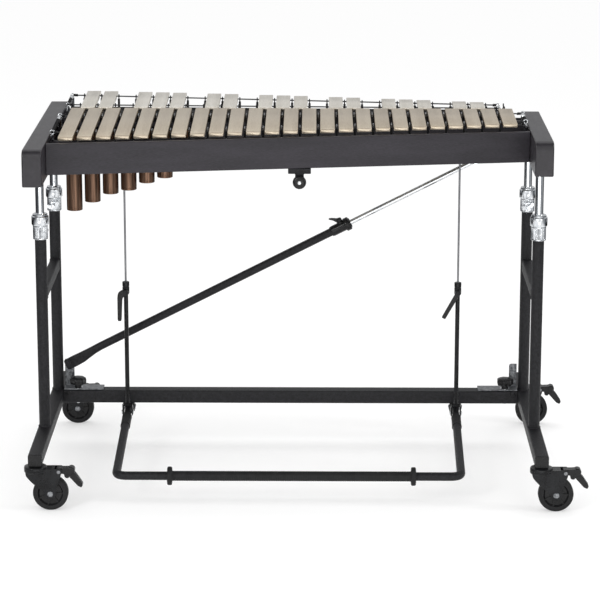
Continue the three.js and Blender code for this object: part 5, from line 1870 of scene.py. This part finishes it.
@dataclass
class Brace:
    """Telescoping diagonal brace, drawn along X and then turned to its slope.

    Attributes:
        pivot: X and Z of its lower pin.
        top: X of its upper bolt.
        slope: rise per unit of X.
        y: the plane that it swings in.
        clamp_x: X of the clamp's middle.
        radius: outside of the lower tube.
        bore: radius of the hole that the upper tube slides in.
        inner_radius: outside of the upper tube.
    """

    pivot: tuple[float, float] = (-520.0, 189.0)
    top: float = 445.0
    slope: float = 0.51
    y: float = 512.5
    clamp_x: float = 117.0
    radius: float = 9.2
    bore: float = 6.4
    inner_radius: float = 6.0

    @property
    def long(self) -> float:
        """Distance between the brace's two ends."""
        return (self.top - self.pivot[0]) * math.hypot(1, self.slope)

    @property
    def clamp_at(self) -> float:
        """Place of the clamp along the brace."""
        return (self.clamp_x - self.pivot[0]) * math.hypot(1, self.slope)

    def placed(self, shape: Surface) -> Surface:
        """Turns a shape from the X axis to the brace's slope and moves it to its pin."""
        tilt = -math.degrees(math.atan(self.slope))
        return shape.turned(Axis.Y, tilt).moved(self.pivot[0], self.y, self.pivot[1])

    def tube(self) -> Surface:
        """Outer tube: a circle that flattens to a 5 x 27 plate round the lower pin.

        Each ring is (deep |cos a|^p, drop + high |sin a|^p) with the signs of cos and sin kept,
        where p falls from 1 on the round part to 0.45 on the plate. The last three rings are the
        bore and its floor.

        Returns:
            The skin.
        """
        r, hole, end = self.radius, self.bore, self.clamp_at - 20
        at = np.array([-10.2, -9.4, -6.0, 16.0, 34.0, 50.0, 66.0, 84.0, 400.0, end, end, 352, 350])
        high = np.array([8.0, 11.0, 13.0, 13.4, 12.6, 11.0, 9.6, r, r, r, hole, hole, POINT])
        deep = np.array([2.0, 2.5, 2.6, 2.6, 3.4, 5.2, 7.4, r, r, r, hole, hole, POINT])
        drop = np.array([-4.5, -4.5, -4.5, -4.5, -4.2, -2.6, -1.0, 0, 0, 0, 0, 0, 0])[:, None]
        a = np.linspace(0, 2 * math.pi, 44, endpoint=False)[None, :]
        power = np.interp(deep, [2.6, r], [0.45, 1.0])[:, None]
        y = deep[:, None] * np.sign(np.cos(a)) * np.abs(np.cos(a)) ** power
        z = high[:, None] * np.sign(np.sin(a)) * np.abs(np.sin(a)) ** power + drop
        return capped(np.stack([np.repeat(at[:, None], 44, 1), y, z], -1))

    def head(self) -> Surface:
        """Clamp head: turned steps with a rolled lip, open for the inner tube, and a boss.

        Returns:
            The skin.
        """
        c, hole = self.clamp_at, self.bore
        turned = revolve([(hole, c - 27), (10.4, c - 26.6), (11.4, c - 25.4), (12.0, c - 22),
                          (12.2, c - 20), (12.2, c + 7.6), (12.8, c + 9.2), (15.0, c + 9.8),
                          (15.6, c + 10.8), (15.6, c + 20), (14.6, c + 21.4), (11.2, c + 22.4),
                          (10.2, c + 24), (hole, c + 24)], Axis.X, 48, ring=True)
        boss = revolve([(7.0, 8.8), (7.9, 9.4), (7.9, 12.6), (7.4, 13.2)], segments=36)
        return joined([turned, boss.moved(c + 2)])

    def inner(self) -> Surface:
        """Upper tube, from inside the lower one to the tongue at its top."""
        return rod(self.inner_radius, self.long * 0.36, self.long - 25, Axis.X, segments=40)

    def tongue(self) -> Surface:
        """Flat tongue with its eye, pressed into the upper tube's end.

        Each point of the outline has one on the eye's rim at the same angle, and the two loops
        are joined on both faces, so that the eye is open.

        Returns:
            The skin.
        """
        e, r, eye, half_thick = self.long, 10.9, 7.0, 2.5
        half = np.linspace(-math.pi / 2, math.pi / 2, 13)
        right = np.column_stack([e + 1 + r * np.cos(half), r * np.sin(half)])
        left = [(e - 9, r), (e - 26, 8), (e - 34, 5), (e - 34, -5), (e - 26, -8), (e - 9, -r)]
        outer = np.concatenate([right, np.array(left)])
        angle = np.unwrap(np.arctan2(outer[:, 1], outer[:, 0] - e))
        rim = np.column_stack([e + eye * np.cos(angle), eye * np.sin(angle)])
        loops = np.stack([rim, outer, outer, rim])
        y = np.broadcast_to(half_thick * np.array([-1, -1, 1, 1])[:, None], loops.shape[:2])
        points = np.stack([loops[..., 0], y, loops[..., 1]], axis=-1)
        return Surface(points.reshape(-1, 3), grid_quads(4, len(outer), wrap_rows=True))

    def lever(self) -> tuple[Surface, Surface]:
        """Clamp screw's hub and its handle, swept back along the tube.

        Returns:
            Skins of the hub and of the handle.
        """
        c = self.clamp_at + 2
        hub = joined([rod(2.5, 13.5, 18.2, segments=20),
                      revolve([(6.2, 13.5), (6.8, 14.0), (6.8, 20.0), (6.0, 20.8)], segments=36)])
        outline = rounded([(5.4, 14.2), (5.4, 21.4), (-3, 23), (-12, 28.6), (-19, 31.2),
                           (-20.4, 28.6), (-13, 23.4), (-6.6, 14.2)],
                          [1, 2, 3, 4, 1.6, 1.6, 4, 1], 6)
        return hub.moved(c), xz_plate(outline, -3.5, 3.5).moved(c)

    def hanger(self) -> tuple[Surface, Surface]:
        """U bracket under the bed, and its bolt with a domed head.

        Returns:
            Skins of the bracket and of its bolt.
        """
        z = self.pivot[1] + self.slope * (self.top - self.pivot[0])
        inner, outer, under, over = 3.4, 6.4, 734.7, 737.7
        outline = rounded([(-outer, z - 12), (-inner, z - 12), (-inner, under), (inner, under),
                           (inner, z - 12), (outer, z - 12), (outer, over), (-outer, over)],
                          [0.4, 0.4, 1, 1, 0.4, 0.4, 1, 1], 4)
        bracket = prism(outline, Axis.X, -12, 12)
        bolt = joined([rod(3.2, -9.4, 9.4, Axis.Y, segments=28),
                       revolve([(5.2, -9.3), (5.6, -8.6), (5.6, -7.0), (5.2, -6.6)], Axis.Y, 6)])
        return bracket.moved(self.top, self.y), bolt.moved(self.top, self.y, z)

    def pin(self) -> Surface:
        """Pin on the left bracket, on both sides of the flattened tube, with a bolt head.

        Returns:
            The skin.
        """
        pin = joined([rod(3.2, 503.8, 509.7, Axis.Y, segments=28),
                      rod(3.2, 515.3, 521.5, Axis.Y, segments=28),
                      revolve([(5.4, 500.6), (6.0, 501.1), (6.0, 503.6), (5.4, 504.1)],
                              Axis.Y, 6)])
        return pin.moved(self.pivot[0], 0, self.pivot[1])

    def build(self) -> None:
        """Makes the brace, its lever, its hanger and the pin on the left bracket."""
        piece("brace_lower_tube", self.placed(self.tube()), POWDER_COAT, "brace_outer",
              ["brace_outer_tube"], sharp=40)
        piece("brace_clamp_head", self.placed(self.head()), NYLON, "brace_outer", sharp=40)
        piece("brace_upper_tube", self.placed(self.inner()), CHROME, "brace_inner",
              ["brace_inner_tube"])
        piece("brace_tongue", self.placed(self.tongue()), CHROME, "brace_inner", sharp=40)
        hub, handle = self.lever()
        piece("brace_lever_hub", self.placed(hub), BLACK_ZINC, "brace_lever",
              ["brace_clamp_lever"])
        piece("brace_lever_handle", self.placed(handle), NYLON, "brace_lever", bevel=1.0)
        bracket, bolt = self.hanger()
        piece("brace_hanger_bracket", bracket, BLACK_ZINC, "bed", ["brace_hanger"], bevel=0.5)
        piece("brace_hanger_bolt", bolt, CHROME, "bed")
        piece("brace_lower_bolt", self.pin(), BLACK_OXIDE, "base")


# The casters.


@dataclass
class Caster:
    """Swivel caster: housing, fork, wheel and brake pedal.

    Attributes:
        side: which end.
        row: front or rear.
        radius: radius of the wheel.
        trail: distance from the stem to the axle, along X.
        cheeks: distances of a fork cheek's two faces from the wheel's plane.
        spokes: how many ribs the hub has.
    """

    side: Side
    row: Row
    radius: float = 38.1
    trail: float = 32.0
    cheeks: tuple[float, float] = (13.2, 15.8)
    spokes: int = 7

    def cheek(self) -> np.ndarray:
        """Outline of a fork cheek, from the housing down to the axle and out to the brake.

        Returns:
            Points of the outline in X and Z.
        """
        t, r = self.trail, self.radius
        points = [(-20.7, 87), (-19.7, 78), (-6, 62), (t - 13, r + 4), (t - 10, r - 8),
                  (t, r - 12), (t + 10, r - 8), (t + 13, r + 4), (t + 17, 62), (56, 80),
                  (58, 94), (-20.7, 94)]
        return rounded(points, [2, 6, 12, 8, 5, 8, 5, 8, 12, 6, 4, 2], 6)

    def fork(self) -> Surface:
        """Two cheeks, the crown between them and the turned housing on top.

        Returns:
            The skin.
        """
        inner, outer = self.cheeks
        crown = [(-20.4, 81.2), (41.6, 81.2), (41.6, 93.8), (-20.4, 93.8)]
        return joined([xz_plate(self.cheek(), -outer, -inner),
                       xz_plate(self.cheek(), inner, outer),
                       xz_plate(crown, -inner - 0.4, inner + 0.4)])

    def housing(self) -> Surface:
        """Bearing housing with the seam between its two pressed races."""
        return revolve([(21.7, 84), (23.4, 84.4), (24.7, 86.4), (24.7, 89.6), (24.0, 90.0),
                        (24.0, 91.0), (24.7, 91.4), (24.7, 95.0), (23.8, 97.0), (21.6, 97.7),
                        (6, 97.7)], segments=64)

    def axle(self) -> Surface:
        """Axle bolt with its domed heads outside the cheeks.

        Returns:
            The skin.
        """
        far = [(4.0, 15.6), (6.4, 15.8), (6.4, 16.6), (5.2, 17.8), (POINT, 18.2)]
        near = [(r, -h) for r, h in far][::-1]
        bolt = joined([rod(4.0, -15.9, 15.9, Axis.Y, segments=28), revolve(far, Axis.Y, 36),
                       revolve(near, Axis.Y, 36)])
        return bolt.moved(self.trail, 0, self.radius)

    def tyre(self) -> Surface:
        """Rubber tread ring: flat in the middle, rounded at its shoulders.

        Returns:
            The skin.
        """
        r = self.radius
        outer = [(r - 8.4, -10.9), (r - 4.6, -11.6), (r - 2.2, -11.0), (r - 0.7, -9.4), (r, -7.2),
                 (r, 7.2), (r - 0.7, 9.4), (r - 2.2, 11.0), (r - 4.6, 11.6), (r - 8.4, 10.9)]
        return revolve(outer, Axis.Y, 96, ring=True)

    def hub(self) -> Surface:
        """Moulded hub: a thin dished web between a boss and the rim, open for the axle.

        Returns:
            The skin.
        """
        r = self.radius
        half = [(4.4, 12.0), (10.2, 12.0), (11.2, 11.2), (12.0, 7.6), (14.0, 6.2), (r - 14, 6.2),
                (r - 11.6, 8.6), (r - 10.4, 10.6), (r - 8.2, 10.6)]
        mirrored = [(a, -b) for a, b in half]
        return revolve(mirrored + half[::-1], Axis.Y, 96, ring=True)

    def hub_ribs(self) -> Surface:
        """Ribs through the web, evenly spaced round the axle.

        Returns:
            The skin.
        """
        outline = rounded([(10.5, -1.3), (27.2, -1.3), (27.2, 1.3), (10.5, 1.3)], 0.4, 3)
        rib = xz_plate(outline, -8.6, 8.6)
        return joined(rib.turned(Axis.Y, 360 / self.spokes * k) for k in range(self.spokes))

    def brake(self) -> Surface:
        """Brake pedal: an arm with a round release lobe, a toe leaf and a short cam.

        Returns:
            The skin.
        """
        arm = rounded([(45, 83), (57, 82), (70, 81), (79, 82), (81, 90), (74, 95), (66, 94.5),
                       (45, 94)], [2, 4, 3, 3, 3, 3, 3, 3], 5)
        leaf = rounded([(68, 83), (81, 89), (91, 75), (102.6, 57), (99.4, 50.8), (92, 53.6),
                        (80, 67), (71, 77)], [2, 3, 6, 3, 2, 3, 6, 3], 6)
        cam = rounded([(61, 83), (75, 82), (72, 71.5), (67, 70.5), (63, 73)], [1, 1, 2, 2, 2], 5)
        lobe = rod(7.9, -10.6, 10.6, Axis.Y, 1.6).moved(77.4, 0, 89.2)
        return joined([xz_plate(arm, -10, 10), xz_plate(leaf, -7.6, 7.6), xz_plate(cam, -5, 5),
                       lobe])

    def brake_ribs(self) -> Surface:
        """Six raised ribs across the toe leaf, evenly spaced along its sloping face.

        Returns:
            The skin.
        """
        low, high = np.array([100.2, 61.0]), np.array([89.0, 78.0])
        out = np.array([high[1] - low[1], low[0] - high[0]]) / np.linalg.norm(high - low)
        places = low + (high - low) * np.linspace(0, 1, 6)[:, None] - out * 0.4
        return joined(rod(1.0, -6.8, 6.8, Axis.Y, segments=16).moved(x, 0, z)
                      for x, z in places)

    def brake_pin(self) -> Surface:
        """Pin that the brake pedal turns on, in two stubs from its arm through the cheeks."""
        stubs = joined([rod(4.0, -17.0, -10.6, Axis.Y), rod(4.0, 10.6, 17.0, Axis.Y)])
        return stubs.moved(51.0, 0, 88)

    def build(self) -> None:
        """Makes the caster's pieces."""
        x, y = self.side.value * LEG_X, CASTER_Y[self.row]
        word = f"{self.row.word}_{self.side.word}"
        fork_body, wheel_body, brake_body = f"caster_{word}", f"wheel_{word}", f"brake_{word}"
        piece(f"{word}_fork", self.fork().moved(x, y), BLACK_ZINC, fork_body,
              [f"caster_fork_{word}"], bevel=0.5, sharp=40)
        piece(f"{word}_swivel_housing", self.housing().moved(x, y), BLACK_ZINC, fork_body)
        piece(f"{word}_axle_bolt", self.axle().moved(x, y), ZINC, fork_body)
        piece(f"{word}_brake_pin", self.brake_pin().moved(x, y), GROUND_STEEL, fork_body)
        at = (x + self.trail, y, self.radius)
        piece(f"{word}_tyre", self.tyre().moved(*at), TREAD, wheel_body,
              [f"caster_wheel_{word}"], sharp=50)
        piece(f"{word}_wheel_hub", self.hub().moved(*at), HUB, wheel_body, sharp=40)
        piece(f"{word}_wheel_ribs", self.hub_ribs().moved(*at), HUB, wheel_body, sharp=40)
        piece(f"{word}_brake_pedal", self.brake().moved(x, y), NYLON, brake_body,
              [f"caster_brake_{word}"], bevel=1.4, sharp=40)
        piece(f"{word}_brake_tread", self.brake_ribs().moved(x, y), NYLON, brake_body)


# The studio: floor, surround, lamps and camera.


@dataclass(frozen=True)
class Lamp:
    """One soft rectangular lamp that looks at the middle of the instrument.

    Attributes:
        name: what it is.
        place: where it hangs, in metres.
        size: its two sides in metres.
        power: watts.
    """

    name: str
    place: tuple[float, float, float]
    size: tuple[float, float]
    power: float

    def build(self) -> None:
        """Hangs the lamp, its -Z turned to the instrument's middle."""
        data = bpy.data.lights.new(self.name, "AREA")
        data.shape, data.size, data.size_y, data.energy = "RECTANGLE", *self.size, self.power
        made = bpy.data.objects.new(self.name, data)
        at, middle = Vector(self.place), Vector((0, 0, 0.5))
        turn = (middle - at).to_track_quat("-Z", "Y").to_matrix().to_4x4()
        made.matrix_world = Matrix.Translation(at) @ turn
        bpy.context.scene.collection.objects.link(made)


LAMPS = (
    Lamp("overhead_softbox", (0.2, 1.2, 3.3), (3.2, 2.0), 20),
    Lamp("front_left_softbox", (-2.6, -3.2, 2.4), (0.9, 1.2), 40),
    Lamp("front_low_strip", (0.1, -2.6, 0.22), (2.4, 0.36), 7),
    Lamp("right_strip", (3.2, -0.8, 1.8), (0.4, 2.0), 24),
)
WHITE = (1.0, 1.0, 1.0, 1.0)


@dataclass
class Studio:
    """Floor, lights, backdrop and the camera that matches the photo.

    Attributes:
        eye: camera's place in metres.
        pitch: degrees that it looks down.
        yaw: degrees that it looks towards high X.
        roll: degrees that it leans.
        lens: focal length in millimetres on a 36 mm sensor.
        floor_half: half of the floor's side in metres.
        floor_lift: share of plain white that the camera sees in the floor.
        fade: distances in metres from the middle between which mirrors lose the floor.
        surround_half: half of the side of the square that the surround's tones fill.
    """

    eye: tuple[float, float, float] = (0.01855, -5.56415, 1.772)
    pitch: float = 14.0
    yaw: float = -0.36
    roll: float = 0.06
    lens: float = 152.64
    floor_half: float = 9.0
    floor_lift: float = 0.4
    fade: tuple[float, float] = (1.1, 1.9)
    surround_half: float = 3.0

    def camera(self) -> None:
        """Sets the camera: Z turned by the yaw, X raised by 90 less the pitch, then the roll."""
        data = bpy.data.cameras.new("photo_camera")
        data.lens, data.sensor_width, data.clip_end = self.lens, 36.0, 40.0
        made = bpy.data.objects.new("photo_camera", data)
        turn = (Matrix.Rotation(math.radians(-self.yaw), 4, "Z")
                @ Matrix.Rotation(math.radians(90 - self.pitch), 4, "X")
                @ Matrix.Rotation(math.radians(self.roll), 4, "Z"))
        made.matrix_world = Matrix.Translation(self.eye) @ turn
        bpy.context.scene.collection.objects.link(made)
        bpy.context.scene.camera = made

    def surround(self, tree: Tree, where: Socket) -> Socket:
        """Shader of the surround that mirrors see: a tone over Y times a tone over X.

        Args:
            tree: the floor's node tree.
            where: Object coordinates.

        Returns:
            The shader.
        """
        split = add_node(tree, "ShaderNodeSeparateXYZ", inputs={0: where})
        depth, across = (
            add_node(tree, "ShaderNodeMapRange", inputs={
                "Value": split.outputs[axis], "From Min": -self.surround_half,
                "From Max": self.surround_half}).outputs["Result"]
            for axis in ("Y", "X"))
        bands = ramp(tree, depth, [
            (0.0, "ffffff"), (0.5, "f2f2f3"), (0.61, "8a8c8f"), (0.69, "161617"),
            (0.79, "161617"), (0.88, "e8e9ea")])
        sides = ramp(tree, across, [
            (0.05, "4a4b4e"), (0.22, "a8aaac"), (0.38, "ffffff"), (0.66, "ffffff"),
            (0.85, "9a9c9f")])
        both = add_node(tree, "ShaderNodeMix", {"data_type": "RGBA", "blend_type": "MULTIPLY"}, {
            0: 1.0, 6: bands, 7: sides})
        return add_node(tree, "ShaderNodeEmission", inputs={"Color": both.outputs[2]}).outputs[0]

    def floor_material(self) -> bpy.types.Material:
        """White paper floor, which far out shows mirrors a surround instead.

        Past the fade a glossy ray meets a tone that is white in front, grey to nearly black in
        a band behind and pale again farther out, and greyer at both sides.

        Returns:
            The material.
        """
        made = bpy.data.materials.new("white_studio_floor")
        made.use_nodes = True
        tree = made.node_tree
        paper = tree.nodes["Principled BSDF"]
        paper.inputs["Base Color"].default_value = (0.96, 0.96, 0.96, 1)
        paper.inputs["Roughness"].default_value = 0.8
        paper.inputs["Specular IOR Level"].default_value = 0.0
        rays = add_node(tree, "ShaderNodeLightPath")
        seen = add_node(tree, "ShaderNodeMath", {"operation": "MULTIPLY"}, {
            0: rays.outputs["Is Camera Ray"], 1: self.floor_lift})
        white = add_node(tree, "ShaderNodeEmission", inputs={"Color": WHITE})
        near = add_node(tree, "ShaderNodeMixShader", inputs={
            0: seen.outputs[0], 1: paper.outputs[0], 2: white.outputs[0]})
        where = add_node(tree, "ShaderNodeTexCoord").outputs["Object"]
        far = add_node(tree, "ShaderNodeVectorMath", {"operation": "LENGTH"}, {0: where})
        beyond = add_node(tree, "ShaderNodeMapRange", inputs={
            "Value": far.outputs["Value"], "From Min": self.fade[0], "From Max": self.fade[1]})
        mirrored = add_node(tree, "ShaderNodeMath", {"operation": "MULTIPLY"}, {
            0: beyond.outputs["Result"], 1: rays.outputs["Is Glossy Ray"]})
        mix = add_node(tree, "ShaderNodeMixShader", inputs={
            0: mirrored.outputs[0], 1: near.outputs[0], 2: self.surround(tree, where)})
        tree.links.new(mix.outputs[0], tree.nodes["Material Output"].inputs["Surface"])
        return made

    def floor(self) -> None:
        """Lays the floor, a plain square at Z = 0."""
        h = self.floor_half
        mesh = bpy.data.meshes.new("studio_floor")
        mesh.from_pydata([(-h, -h, 0), (h, -h, 0), (h, h, 0), (-h, h, 0)], [], [(0, 1, 2, 3)])
        made = bpy.data.objects.new("studio_floor", mesh)
        bpy.context.scene.collection.objects.link(made)
        made.data.materials.append(self.floor_material())

    def world(self) -> None:
        """White surround: even white light, with tones of its own for mirrors.

        For glossy rays its tone goes over Z from grey at the horizon through pale to dark
        overhead, and it is plain white in front, where the camera stands.
        """
        world = bpy.data.worlds.new("white_surround")
        world.use_nodes = True
        tree = world.node_tree
        tree.nodes.clear()
        rays = add_node(tree, "ShaderNodeLightPath")
        even = add_node(tree, "ShaderNodeBackground", inputs={"Color": WHITE})
        split = add_node(tree, "ShaderNodeSeparateXYZ", inputs={
            0: add_node(tree, "ShaderNodeTexCoord").outputs["Generated"]})
        tone = ramp(tree, split.outputs["Z"], [
            (0.0, "7c7e82"), (0.1, "c0c1c3"), (0.24, "d4d4d4"), (0.55, "c8c9cb"),
            (0.8, "85878b"), (0.93, "1c1d1f")])
        ahead = add_node(tree, "ShaderNodeMapRange", inputs={
            "Value": split.outputs["Y"], "From Min": -0.9, "From Max": -0.5})
        both = add_node(tree, "ShaderNodeMix", {"data_type": "RGBA"}, {
            0: ahead.outputs["Result"], 6: WHITE, 7: tone})
        mirrored = add_node(tree, "ShaderNodeBackground", inputs={"Color": both.outputs[2]})
        mix = add_node(tree, "ShaderNodeMixShader", inputs={
            0: rays.outputs["Is Glossy Ray"], 1: even.outputs[0], 2: mirrored.outputs[0]})
        add_node(tree, "ShaderNodeOutputWorld", inputs={"Surface": mix.outputs[0]})
        bpy.context.scene.world = world

    def build(self) -> None:
        """Makes the whole studio."""
        self.camera()
        self.floor()
        self.world()
        for lamp in LAMPS:
            lamp.build()
        bpy.context.scene.view_settings.view_transform = "Standard"


def main() -> None:
    """Builds every part in order."""
    logging.basicConfig(level=logging.INFO, format="%(message)s")
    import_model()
    Studio().build()
    for side in Side:
        LegFrame(side).build()
        for row in Row:
            LegClamp(side, row).build()
            Caster(side, row).build()
    CrossBar().build()
    Bed().build()
    Damper().build()
    PullRod(Side.LEFT, 0.5).build()
    PullRod(Side.RIGHT, 29.0).build()
    Pedal().build()
    Resonators().build()
    FrontKnob().build()
    Brace().build()


if __name__ == "__main__":
    main()
